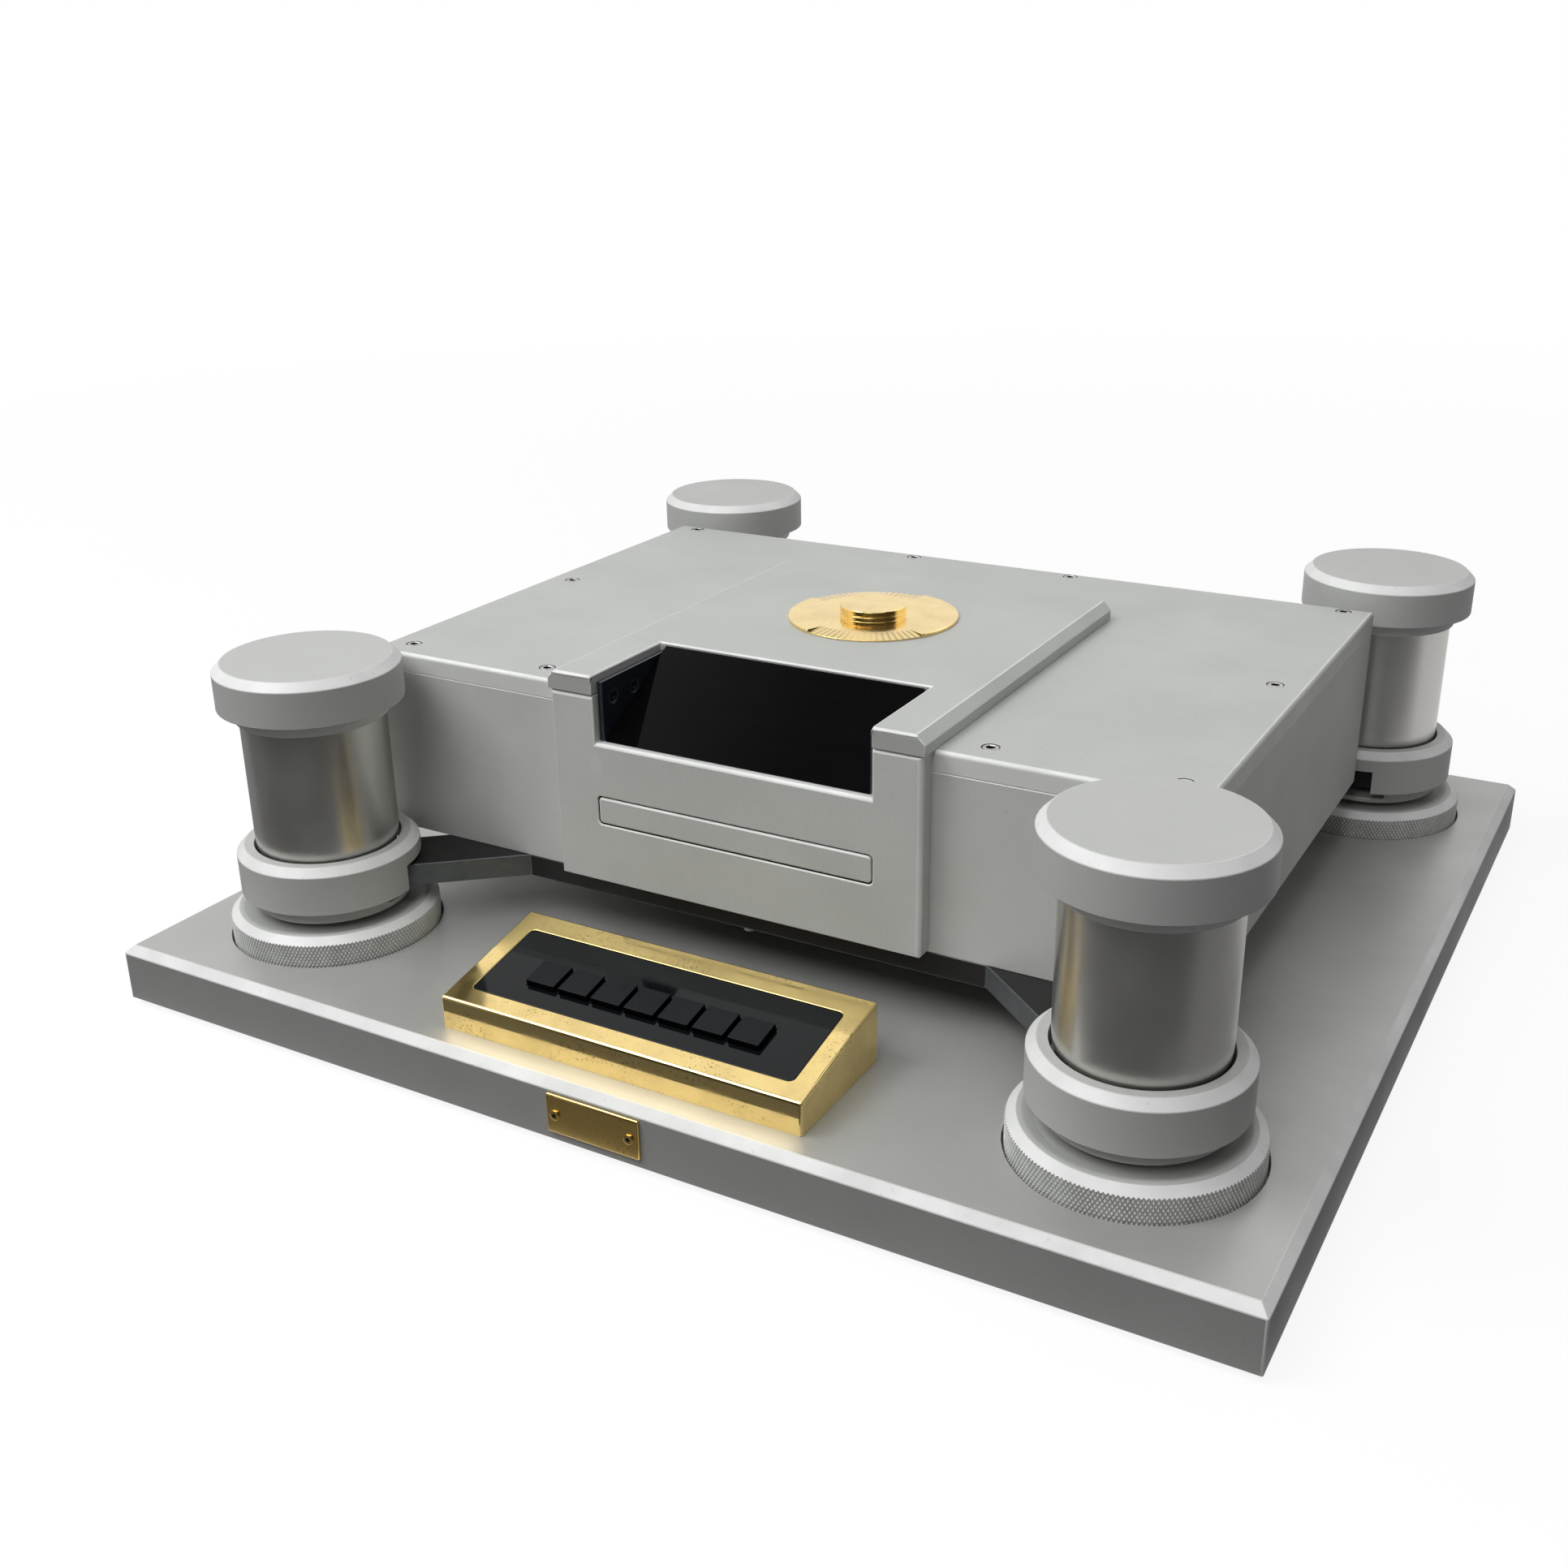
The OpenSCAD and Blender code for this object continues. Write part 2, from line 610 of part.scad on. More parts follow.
// Lid: thick plate with rounded edges, on the tub's walls
module lid_outline(low, high) {
    translate([low, chassis_top]) square([high - low, lid_t - lid_round]);
    translate([low + lid_round, chassis_top]) square([high - low - 2 * lid_round, lid_t]);
    for (x = [low + lid_round, high - lid_round]) translate([x, lid_top - lid_round]) circle(r = lid_round);
}

module lid() color(blasted) difference() {
    intersection() {
        along_x(-half_w, half_w) lid_outline(front_y, rear_y);
        along_y(front_y, rear_y) lid_outline(-half_w, half_w);
    }
    hood_cut(chassis_top - cut);
    lid_screw_holes();
}

module lid_screws() color(steel) for (p = lid_screws_at) translate([p[0], p[1], lid_top])
    socket_screw(lid_screw_r, lid_screw_t, lid_screw_len);

// Bridge: raised middle plate with chamfered sides, the hood opening and the medallion's bore
bridge_round = 2.6;     // rounding of the bridge's front edge
spigot_r = 15;
spigot_h = 6;
bridge_half = bridge_w / 2;

module bridge() color(blasted) difference() {
    intersection() {
        along_y(-bridge_front, bridge_rear) polygon([
            [-bridge_half, lid_top], [bridge_half, lid_top], [bridge_half, bridge_top - bridge_chamfer],
            [bridge_half - bridge_chamfer, bridge_top], [bridge_chamfer - bridge_half, bridge_top],
            [-bridge_half, bridge_top - bridge_chamfer]]);
        along_x(-bridge_half, bridge_half) {
            translate([-bridge_front, lid_top]) square([bridge_front, bridge_t - bridge_round]);
            translate([bridge_round - bridge_front, lid_top])
                square([bridge_front + bridge_rear - bridge_round, bridge_t]);
            translate([bridge_round - bridge_front, bridge_top - bridge_round]) circle(r = bridge_round);
        }
    }
    hood_cut(lid_top - cut);
    translate([0, -medallion_front, bridge_top - spigot_h - seat_gap])
        cylinder(r = spigot_r + fit, h = spigot_h + seat_gap + cut);
}

// Fascia: front plate with a notch for the hood and the tray slot
fascia_top_gap = 0.6;
fascia_z = arm_top + fascia_lift;
fascia_top = lid_top - fascia_top_gap;
fascia_y = front_y - fascia_t;

module fascia() color(blasted) difference() {
    block([-fascia_w / 2, fascia_y, fascia_z], [fascia_w / 2, front_y, fascia_top]);
    hood_cut(hood_floor);
    slot_cut(fascia_y - cut, front_y + cut);
}

// Hood cheeks: black plates against both sides of the opening, with two screws each
cheek_t = 3;
cheek_sink = 4;         // cheeks behind the fascia's face and below the bridge's face
cheek_y = fascia_y + cheek_sink;
cheek_rear_y = -hood_rear - slip;
cheek_top = bridge_top - cheek_sink;
cheek_x = hood_w / 2 - cheek_t;
glass_lean = 30.2;      // slope of the display glass, degrees
cheek_screw_r = 3;
cheek_screw_t = 1.6;
cheek_screw_inset = 9.9;        // front screws behind the cheek's front edge
cheek_screw_pitch = 18;
cheek_screw_y = [for (k = [0, 1]) cheek_y + cheek_screw_inset + k * cheek_screw_pitch];
cheek_screw_drop = 10;          // screws below the cheek's top
glass_rise = (cheek_rear_y - cheek_y) * tan(glass_lean);
cheek_foot = hood_floor + slip;

module hood_cheeks() color(black) for (side = [-1, 1]) difference() {
    along_x(side < 0 ? -hood_w / 2 : cheek_x, side < 0 ? -cheek_x : hood_w / 2) polygon([
        [cheek_y, cheek_foot], [cheek_y, cheek_top], [cheek_rear_y, cheek_top],
        [cheek_rear_y, cheek_foot + glass_rise - 2 * glass_t], [front_y + wall, cheek_foot]]);
    for (y = cheek_screw_y) translate([side * cheek_x, y, cheek_top - cheek_screw_drop])
        rotate([0, -side * 90, 0]) screw_hole(cheek_screw_r, cheek_screw_t, cheek_t);
}

module cheek_screws() color(steel) for (side = [-1, 1], y = cheek_screw_y)
    translate([side * cheek_x, y, cheek_top - cheek_screw_drop])
        rotate([0, -side * 90, 0]) socket_screw(cheek_screw_r, cheek_screw_t, cheek_t - slip);

// Display glass: sloped between the cheeks, from the fascia's notch up to the bridge
module display_glass() color(black) along_x(slip - cheek_x, cheek_x - slip) polygon([
    [cheek_y, cheek_foot], [cheek_y + 2 * glass_t, cheek_foot],
    [cheek_rear_y, cheek_foot + glass_rise - glass_t / cos(glass_lean)],
    [cheek_rear_y, cheek_foot + glass_rise]]);

// Rear panel, in the stepped window, with its sockets
rear_panel_y = rear_y - rear_panel_sink;
socket_z = arm_top + chassis_h / 2;
phono_x = -170;         // leftmost signal socket, and the step to the next ones
phono_pitch = 25;
phono_count = 3;
phono_at = [for (k = [0:phono_count - 1]) phono_x + k * phono_pitch];
phono_r = 4.1;
phono_flange_r = 7;
phono_flange_t = 2;
phono_len = 9;
phono_stub_r = 3;
phono_stub_len = 6;
pin_hole_r = 1.6;
pin_hole_depth = 7;
clock_x = -70;          // leftmost socket with lugs, and the step to the next one
clock_pitch = 30;
clock_count = 2;
clock_at = [for (k = [0:clock_count - 1]) clock_x + k * clock_pitch];
clock_r = 4.8;
clock_len = 12;
clock_lug_r = 1;
clock_lug_out = 1.2;
inlet_x = 150;
inlet_w = 24;           // width of the mains inlet's cavity
inlet_h = 16.5;
inlet_depth = 17;
inlet_wall = 1.8;
inlet_flange = 5;
inlet_flange_t = 2;
inlet_pin_w = 2;
inlet_pin_h = 4;
inlet_pin_len = 10;
inlet_pin_dx = 7;       // outer pins beside the middle one
inlet_pin_low = 2;      // outer pins below the cavity's middle
inlet_pin_high = 3;     // middle pin above it
inlet_pin_at = [[-inlet_pin_dx, -inlet_pin_low], [inlet_pin_dx, -inlet_pin_low], [0, inlet_pin_high]];

module inlet_outline(grow) translate([inlet_x, socket_z]) square([inlet_w + 2 * grow, inlet_h + 2 * grow],
    center = true);

module rear_panel() color(blasted) difference() {
    rear_window(window_inset, rear_panel_y - rear_panel_t, rear_panel_y, slip);
    for (x = concat(phono_at, clock_at)) translate([x, rear_panel_y + cut, socket_z]) rotate([90, 0, 0])
        cylinder(r = phono_stub_r + slip, h = rear_panel_t + 2 * cut);
    along_y(rear_panel_y - rear_panel_t - cut, rear_panel_y + cut) inlet_outline(inlet_wall + slip);
}

// Round sockets that a plug goes over: three for signals, two with bayonet lugs
module round_socket(r, len) translate([0, rear_panel_y, socket_z]) rotate([-90, 0, 0]) difference() {
    union() {
        translate([0, 0, -phono_stub_len]) cylinder(r = phono_stub_r, h = phono_stub_len + cut);
        cylinder(r = phono_flange_r, h = phono_flange_t);
        cylinder(r = r, h = phono_flange_t + len);
    }
    translate([0, 0, phono_flange_t + len - pin_hole_depth])
        cylinder(r = pin_hole_r, h = pin_hole_depth + cut);
}

module signal_sockets() color(steel) {
    for (x = phono_at) translate([x, 0, 0]) round_socket(phono_r, phono_len);
    for (x = clock_at) translate([x, 0, 0]) {
        round_socket(clock_r, clock_len);
        translate([-clock_r - clock_lug_out, rear_panel_y + phono_flange_t + clock_len / 2, socket_z])
            rotate([0, 90, 0]) difference() {
                cylinder(r = clock_lug_r, h = 2 * (clock_r + clock_lug_out));
                translate([0, 0, clock_lug_out + clock_r / 2]) cylinder(r = clock_lug_r + cut, h = clock_r);
            }
    }
}

module mains_inlet() color(black) difference() {
    union() {
        along_y(rear_panel_y, rear_panel_y + inlet_flange_t) inlet_outline(inlet_flange);
        along_y(rear_panel_y + inlet_flange_t - inlet_depth - inlet_wall, rear_panel_y + inlet_flange_t / 2)
            inlet_outline(inlet_wall);
    }
    along_y(rear_panel_y + inlet_flange_t - inlet_depth, rear_panel_y + inlet_flange_t + cut) difference() {
        inlet_outline(0);
        for (p = inlet_pin_at) translate([inlet_x + p[0], socket_z + p[1]])
            square([inlet_pin_w, inlet_pin_h], center = true);
    }
    along_y(rear_panel_y + inlet_flange_t - inlet_depth + inlet_pin_len,
        rear_panel_y + inlet_flange_t + cut) inlet_outline(0);
}

// Transformer: a ring winding on the floor with its clamping dish and bolt
transformer_x = 150;
transformer_y = 78;
transformer_r = 48;
transformer_in_r = 14;
transformer_h = 46;
transformer_round = 9;
dish_t = 2;
bolt_r = 4;
bolt_head_r = 7;
bolt_head_h = 6;

module transformer() color("peru") translate([transformer_x, transformer_y, inner_floor]) {
    rotate_extrude() translate([(transformer_r + transformer_in_r) / 2, transformer_h / 2])
        round_rect(transformer_r - transformer_in_r, transformer_h, transformer_round);
    translate([0, 0, transformer_h]) cylinder(r = (transformer_r + transformer_in_r) / 2, h = dish_t);
    cylinder(r = bolt_r, h = transformer_h + dish_t);
    translate([0, 0, transformer_h + dish_t]) cylinder(r = bolt_head_r, h = bolt_head_h, $fn = 6);
}

// Circuit boards: signal board on the left, power board on the right, both on standoffs
standoff_r = 3;
standoff_h = 6;
standoff_inset = 6;
signal_board_x = -200;
signal_board_y = -60;
signal_board_w = 100;
signal_board_d = 185;
power_board_x = 105;
power_board_y = -128;
power_board_w = 95;
power_board_d = 143;
board_edge = 12;        // parts to the board's edges
board_part_z = inner_floor + standoff_h + board_t;
chip_count = 3;
chip_side = 24;
chip_h = 3;
can_count = 4;
can_r = 9;
can_h = 32;
sink_w = 14;
sink_h = 38;

module board_of(x0, y0, w, d) translate([x0, y0, 0]) {
    translate([0, 0, inner_floor + standoff_h]) cube([w, d, board_t]);
    for (x = [standoff_inset, w - standoff_inset], y = [standoff_inset, d - standoff_inset])
        translate([x, y, inner_floor]) cylinder(r = standoff_r, h = standoff_h);
}

module circuit_boards() color(board_green) {
    board_of(signal_board_x, signal_board_y, signal_board_w, signal_board_d);
    board_of(power_board_x, power_board_y, power_board_w, power_board_d);
    for (k = [1:chip_count]) let (y = 2 * k * chip_side)
        translate([signal_board_x + 2 * board_edge, signal_board_y + y, board_part_z])
            cube([chip_side, chip_side, chip_h]);
    for (k = [0:can_count - 1]) let (y = 3 * k * can_r)
        translate([power_board_x + board_edge + can_r, power_board_y + board_edge + can_r + y, board_part_z])
            cylinder(r = can_r, h = can_h);
    translate([power_board_x + power_board_w - board_edge - sink_w, power_board_y + board_edge, board_part_z])
        cube([sink_w, power_board_d - 2 * board_edge, sink_h]);
}

// Tray: plate with a disc recess, an open slot for the spindle and two ribs, the left one a rack
tray_w = 144;
tray_web_t = 4;
tray_h = 7;
tray_rise = 77.5;       // tray's upper face above the plinth
tray_top = plinth_top + tray_rise;
tray_under = tray_top - tray_h;
tray_web_z = tray_top - tray_web_t;
tray_door_t = 7.6;
tray_front_y = fascia_y + tray_door_t + seat_gap;
tray_rear_y = 24;
tray_rib_w = 8;
recess_depth = 2.2;
tray_slot_r = 20;
gear_module = 1;
gear_teeth = 16;
gear_r = gear_module * gear_teeth / 2;
gear_add = gear_module;
gear_ded = 1.25 * gear_module;
tooth_pitch = PI * gear_module;
tooth_tip_share = 0.1;          // half width of a tooth at its tip, against the pitch
tooth_root_share = 0.24;        // half width of a tooth at its root, against the pitch
rack_x = tray_rib_w - tray_w / 2;
rack_line_x = rack_x - gear_add;
pinion_x = rack_line_x + gear_r;
pinion_y = -136;
rack_first = ceil((tray_front_y - pinion_y) / tooth_pitch) + 1;
rack_last = floor((tray_rear_y - pinion_y) / tooth_pitch) - 1;

gap_root = tooth_pitch / 2 - tooth_root_share * tooth_pitch;
gap_tip = tooth_pitch / 2 - tooth_tip_share * tooth_pitch;

module rack_gaps() for (k = [rack_first:rack_last]) translate([rack_line_x, pinion_y + k * tooth_pitch])
    polygon([[-gear_ded, -gap_root], [gear_add, -gap_tip], [gear_add + cut, -gap_tip],
        [gear_add + cut, gap_tip], [gear_add, gap_tip], [-gear_ded, gap_root]]);

module tray() color(black) difference() {
    union() {
        block([-tray_w / 2, tray_front_y, tray_web_z], [tray_w / 2, tray_rear_y, tray_top]);
        for (x = [-tray_w / 2, tray_w / 2 - tray_rib_w])
            block([x, tray_front_y, tray_under], [x + tray_rib_w, tray_rear_y, tray_top]);
    }
    translate([0, spindle_y, tray_top - recess_depth]) cylinder(r = disc_recess_r, h = recess_depth + cut);
    translate([0, spindle_y, tray_under - cut]) cylinder(r = tray_slot_r, h = tray_h + 2 * cut);
    block([-tray_slot_r, spindle_y, tray_under - cut], [tray_slot_r, tray_rear_y + cut, tray_top + cut]);
    translate([0, 0, tray_under - cut]) linear_extrude(tray_h - tray_web_t + cut) rack_gaps();
}

module tray_door() color(blasted) translate([0, 0, door_mid]) along_y(fascia_y, fascia_y + tray_door_t)
    round_rect(door_w, door_h, door_round);

// Transport base: plate on standoffs, tray rails, and the walls that hold the sled's rods
base_rise = 3.8;        // base above the tub's floor
base_z = inner_floor + base_rise;
base_t = 4;
base_top = base_z + base_t;
base_gap = 2.6;         // base behind the front wall
base_front_y = front_y + wall + base_gap;
base_overhang = 6;      // base behind the tray
base_rear_y = tray_rear_y + base_overhang;
base_foot_r = 5;
base_foot_inset = 10;
rail_gap = 0.4;
rail_t = 5.6;
rail_grip = 1.5;        // rail under and over the tray's edge
rail_lip_t = 3;
rail_x = tray_w / 2 + rail_gap;
leg_gap = 6;            // legs of the clamp's bridge beside the rails
leg_t = 6;
leg_x = rail_x + rail_t + leg_gap;
leg_side = 2;           // base outside the legs
base_half_w = leg_x + leg_t + leg_side;
motor_r = 13.5;
motor_h = 12;
shaft_r = 1.5;
shaft_depth = 10;
motor_to_sled = 4.5;    // spindle motor to the sled
sled_half_w = 27;
sled_d = 24;
sled_rise = 5;          // sled above the base
sled_z = base_top + sled_rise;
sled_h = 15;
sled_travel = 33;
sled_end_gap = 1;
sled_y = spindle_y + motor_r + motor_to_sled;
lens_r = 6;
lens_h = 5;
lens_sink = 1;
lens_y = sled_y + lens_r + sled_end_gap;
rod_r = 3;
rod_x = 22;
rod_rise = 5;           // rods above the sled's underside
rod_z = sled_z + rod_rise;
rod_wall_t = 2.2;
rod_wall_h = 16;
rod_wall_overhang = 2;
rod_wall_y = [sled_y - sled_end_gap - rod_wall_t, sled_y + sled_d + sled_travel + sled_end_gap];
rod_end_y = rod_wall_y[1] + rod_wall_t;
screw_rod_r = 2.5;
pulley_r = 6;
pulley_t = 3;

// A rod along Y at a place across the sled
module rod_at(x, r, y0, y1) translate([x, y1, rod_z]) rotate([90, 0, 0]) cylinder(r = r, h = y1 - y0);

module transport_base() color(dark_steel) difference() {
    union() {
        block([-base_half_w, base_front_y, base_z], [base_half_w, base_rear_y, base_top]);
        for (x = [-1, 1], y = [base_front_y + base_foot_inset, base_rear_y - base_foot_inset])
            translate([x * (base_half_w - base_foot_inset), y, inner_floor])
                cylinder(r = base_foot_r, h = base_z - inner_floor);
        for (side = [0, 1]) mirror([side, 0, 0]) {
            block([rail_x, base_front_y, base_z],
                [rail_x + rail_t, base_rear_y, tray_top + seat_gap + rail_lip_t]);
            block([rail_x - rail_gap - rail_grip, base_front_y, tray_under - seat_gap - rail_lip_t],
                [rail_x + rail_t, base_rear_y, tray_under - seat_gap]);
            block([rail_x - rail_gap - rail_grip, base_front_y, tray_top + seat_gap],
                [rail_x + rail_t, base_rear_y, tray_top + seat_gap + rail_lip_t]);
        }
        for (y = rod_wall_y) block([-sled_half_w - rod_wall_overhang, y, base_z],
            [sled_half_w + rod_wall_overhang, y + rod_wall_t, base_top + rod_wall_h]);
    }
    for (x = [-rod_x, rod_x]) rod_at(x, rod_r + fit, rod_wall_y[0] - cut, rod_end_y + cut);
    rod_at(0, screw_rod_r + fit, rod_wall_y[0] - cut, rod_end_y + cut);
}

module sled_rods() color(steel) for (x = [-rod_x, rod_x]) rod_at(x, rod_r, rod_wall_y[0], rod_end_y);

module laser_sled() color(black) difference() {
    union() {
        block([-sled_half_w, sled_y, sled_z], [sled_half_w, sled_y + sled_d, sled_z + sled_h]);
        translate([0, lens_y, sled_z]) cylinder(r = lens_r, h = sled_h + lens_h);
    }
    translate([0, lens_y, sled_z + sled_h + lens_h - lens_sink])
        cylinder(r = lens_r / 2, h = lens_sink + cut);
    for (x = [-rod_x, rod_x]) rod_at(x, rod_r + fit, sled_y - cut, sled_y + sled_d + cut);
    rod_at(0, screw_rod_r + fit, sled_y - cut, sled_y + sled_d + cut);
}

module lead_screw() color(steel) {
    rod_at(0, screw_rod_r, rod_wall_y[0], rod_end_y + seat_gap + pulley_t);
    rod_at(0, pulley_r, rod_end_y + seat_gap, rod_end_y + seat_gap + pulley_t);
}

// Spindle motor and the turntable on its shaft
table_r = 15;
table_t = 2.6;
table_sink = 0.2;       // turntable below the recess's floor
table_top = tray_top - recess_depth - table_sink;
table_hub_r = 4;
table_socket_r = 8;
table_socket_depth = 1.4;

module motor_body(r, h) difference() {
    cylinder(r = r, h = h);
    translate([0, 0, h - shaft_depth]) cylinder(r = shaft_r + fit, h = shaft_depth + cut);
}

module spindle_motor() color(steel) translate([0, spindle_y, base_top]) motor_body(motor_r, motor_h);

module turntable() color(black) translate([0, spindle_y, 0]) rotate_extrude() polygon([
    [0, base_top + motor_h - shaft_depth + seat_gap], [shaft_r, base_top + motor_h - shaft_depth + seat_gap],
    [shaft_r, base_top + motor_h + seat_gap], [table_hub_r, base_top + motor_h + seat_gap],
    [table_hub_r, table_top - table_t], [table_r, table_top - table_t], [table_r, table_top],
    [table_socket_r, table_top], [table_socket_r, table_top - table_socket_depth],
    [0, table_top - table_socket_depth]]);

// Tray motor and its pinion
tray_motor_r = 9;
tray_motor_h = 14;
pinion_hub_r = 4;

module tray_motor() color(steel) translate([pinion_x, pinion_y, base_top])
    motor_body(tray_motor_r, tray_motor_h);

module tray_pinion() color("white") translate([pinion_x, pinion_y, 0]) {
    translate([0, 0, tray_under]) linear_extrude(tray_web_z - seat_gap - tray_under) {
        circle(r = gear_r - gear_ded);
        for (k = [0:gear_teeth - 1]) rotate(360 * k / gear_teeth) polygon([
            [0, -tooth_root_share * tooth_pitch], [gear_r - gear_ded, -tooth_root_share * tooth_pitch],
            [gear_r + gear_add, -tooth_tip_share * tooth_pitch],
            [gear_r + gear_add, tooth_tip_share * tooth_pitch],
            [gear_r - gear_ded, tooth_root_share * tooth_pitch], [0, tooth_root_share * tooth_pitch]]);
    }
    translate([0, 0, base_top + tray_motor_h + seat_gap])
        cylinder(r = pinion_hub_r, h = tray_under - base_top - tray_motor_h - seat_gap + cut);
    translate([0, 0, base_top + tray_motor_h - shaft_depth + seat_gap])
        cylinder(r = shaft_r, h = shaft_depth + cut);
}

// Clamp bridge over the tray, and the disc clamp that drops through it
disc_t = 1.2;
clamp_drop = 7.5;
clamp_r = 14;
clamp_t = 4;
clamp_cone_h = 2.3;
clamp_cone_r = 7.3;
clamp_cone_tip_r = 6.5;
clamp_stem_r = 4;
clamp_cap_r = 6.5;
clamp_cap_t = 2;
clamp_z = tray_top - recess_depth + disc_t + seat_gap + clamp_drop;
beam_gap = 3.7;         // beam above the clamp
beam_t = 4;
beam_d = 24;
beam_z = clamp_z + clamp_t + beam_gap;
beam_top = beam_z + beam_t;
clamp_cap_z = beam_top + clamp_drop + seat_gap;

module clamp_bridge() color(dark_steel) difference() {
    union() {
        block([-leg_x - leg_t, spindle_y - beam_d / 2, beam_z],
            [leg_x + leg_t, spindle_y + beam_d / 2, beam_top]);
        for (x = [-leg_x - leg_t, leg_x])
            block([x, spindle_y - beam_d / 2, base_top], [x + leg_t, spindle_y + beam_d / 2, beam_top]);
    }
    translate([0, spindle_y, beam_z - cut]) cylinder(r = clamp_stem_r + fit, h = beam_t + 2 * cut);
}

module disc_clamp() color(black) translate([0, spindle_y, 0]) rotate_extrude() polygon([
    [0, clamp_z - clamp_cone_h], [clamp_cone_tip_r, clamp_z - clamp_cone_h], [clamp_cone_r, clamp_z],
    [clamp_r, clamp_z], [clamp_r, clamp_z + clamp_t], [clamp_stem_r, clamp_z + clamp_t],
    [clamp_stem_r, clamp_cap_z], [clamp_cap_r, clamp_cap_z], [clamp_cap_r, clamp_cap_z + clamp_cap_t],
    [0, clamp_cap_z + clamp_cap_t]]);

// Medallion: plate with two finger scoops, stepped hub and the spigot that locates it
medallion_edge = 0.4;
hub_groove_h = 0.6;
hub_groove_depth = 0.8;
hub_edge = 1;
hub_tier_share = 0.42;  // height of the hub's lower tier against the hub's
scoop_share = 0.78;     // where a scoop starts, against the medallion's radius
scoop_depth = 1.2;
scoops = [[-112, -29.5], [78, 165]];    // first and last angle of each scoop, degrees

module medallion() color(gold) translate([0, -medallion_front, bridge_top]) difference() {
    tier = medallion_t + hub_tier_share * hub_h;
    rotate_extrude() polygon([
        [0, -spigot_h], [spigot_r, -spigot_h], [spigot_r, face_gap], [medallion_r, face_gap],
        [medallion_r, medallion_t - medallion_edge], [medallion_r - medallion_edge, medallion_t],
        [hub_r, medallion_t], [hub_r, tier], [hub_r - hub_groove_depth, tier],
        [hub_r - hub_groove_depth, tier + hub_groove_h], [hub_r, tier + hub_groove_h],
        [hub_r, medallion_t + hub_h - hub_edge], [hub_r - hub_edge, medallion_t + hub_h],
        [0, medallion_t + hub_h]]);
    for (a = scoops) rotate(a[0]) rotate_extrude(angle = a[1] - a[0]) polygon([
        [medallion_r * scoop_share, medallion_t], [medallion_r + cut, medallion_t - scoop_depth],
        [medallion_r + cut, medallion_t + cut], [medallion_r * scoop_share, medallion_t + cut]]);
}

plinth();
feet();
nameplate();
nameplate_screws();
panel_housing();
panel_glass();
key_board();
levelling_ring(0);  // ring_fl
levelling_ring(1);  // ring_fr
levelling_ring(2);  // ring_bl
levelling_ring(3);  // ring_br
column_foot(0);  // column_foot_fl
column_foot(1);  // column_foot_fr
column_foot(2);  // column_foot_bl
column_foot(3);  // column_foot_br
collar(0);  // collar_fl
collar(1);  // collar_fr
collar(2);  // collar_bl
collar(3);  // collar_br
column_spring(0);  // spring_fl
column_spring(1);  // spring_fr
column_spring(2);  // spring_bl
column_spring(3);  // spring_br
tubes();
caps();
hangers();
subframe();
chassis_tub();
lid();
lid_screws();
bridge();
fascia();
hood_cheeks();
cheek_screws();
display_glass();
rear_panel();
signal_sockets();
mains_inlet();
transformer();
circuit_boards();
transport_base();
spindle_motor();
sled_rods();
clamp_bridge();
tray_motor();
tray();
tray_door();
tray_pinion();
turntable();
disc_clamp();
laser_sled();
lead_screw();
medallion();
key(1);  // key_1
key(2);  // key_2
key(3);  // key_3
key(4);  // key_4
key(5);  // key_5
key(6);  // key_6
key(7);  // key_7
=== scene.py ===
"""Disc player on a suspended chassis: studio scene, materials and detailed pieces.

Lengths in the tables below are millimetres in the frame of the CAD model, and are
turned into metres where a mesh is made.
"""

import json
import math

import bmesh
import bpy
from mathutils import Matrix, Vector


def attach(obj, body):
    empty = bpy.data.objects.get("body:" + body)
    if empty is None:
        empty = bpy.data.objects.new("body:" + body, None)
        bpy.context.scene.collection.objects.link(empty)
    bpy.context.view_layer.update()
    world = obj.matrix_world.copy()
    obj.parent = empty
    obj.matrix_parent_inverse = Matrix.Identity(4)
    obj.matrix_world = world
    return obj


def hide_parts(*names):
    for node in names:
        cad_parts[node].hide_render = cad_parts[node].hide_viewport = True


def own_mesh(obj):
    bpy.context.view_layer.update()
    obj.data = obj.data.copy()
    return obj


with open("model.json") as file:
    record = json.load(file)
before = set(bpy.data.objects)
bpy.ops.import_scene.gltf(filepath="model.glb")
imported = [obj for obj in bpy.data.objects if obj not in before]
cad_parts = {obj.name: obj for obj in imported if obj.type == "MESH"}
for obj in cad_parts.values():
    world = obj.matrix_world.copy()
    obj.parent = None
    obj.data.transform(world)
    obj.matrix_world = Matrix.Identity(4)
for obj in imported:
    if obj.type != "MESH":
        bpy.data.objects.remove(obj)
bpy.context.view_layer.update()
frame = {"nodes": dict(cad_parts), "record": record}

MM = 0.001
SCENE = bpy.context.scene
SLOT_OF = {entry["node"]: entry["material_slot"] for entry in frame["record"]["subparts"]}
BODY_OF = {node: body for body, nodes in frame["record"]["behaviour"]["bodies"].items()
           for node in nodes}

# Columns, in the order of the CAD model
CORNERS = {"fl": (-1, -1), "fr": (1, -1), "bl": (-1, 1), "br": (1, 1)}
COLUMN_X = 222.0
COLUMN_Y = 207.5

# Sizes that a material and a mesh share
RING_R = 54.3                       # a levelling ring's rim
KNURL_DEPTH = 0.75
MEDALLION_Y = -13.5
RIB_PITCH = math.radians(4.4)       # of the cutter marks in the medallion's scoops
SCOOP_MIDDLES = (math.radians(-70.75), math.radians(121.5))


# Node trees

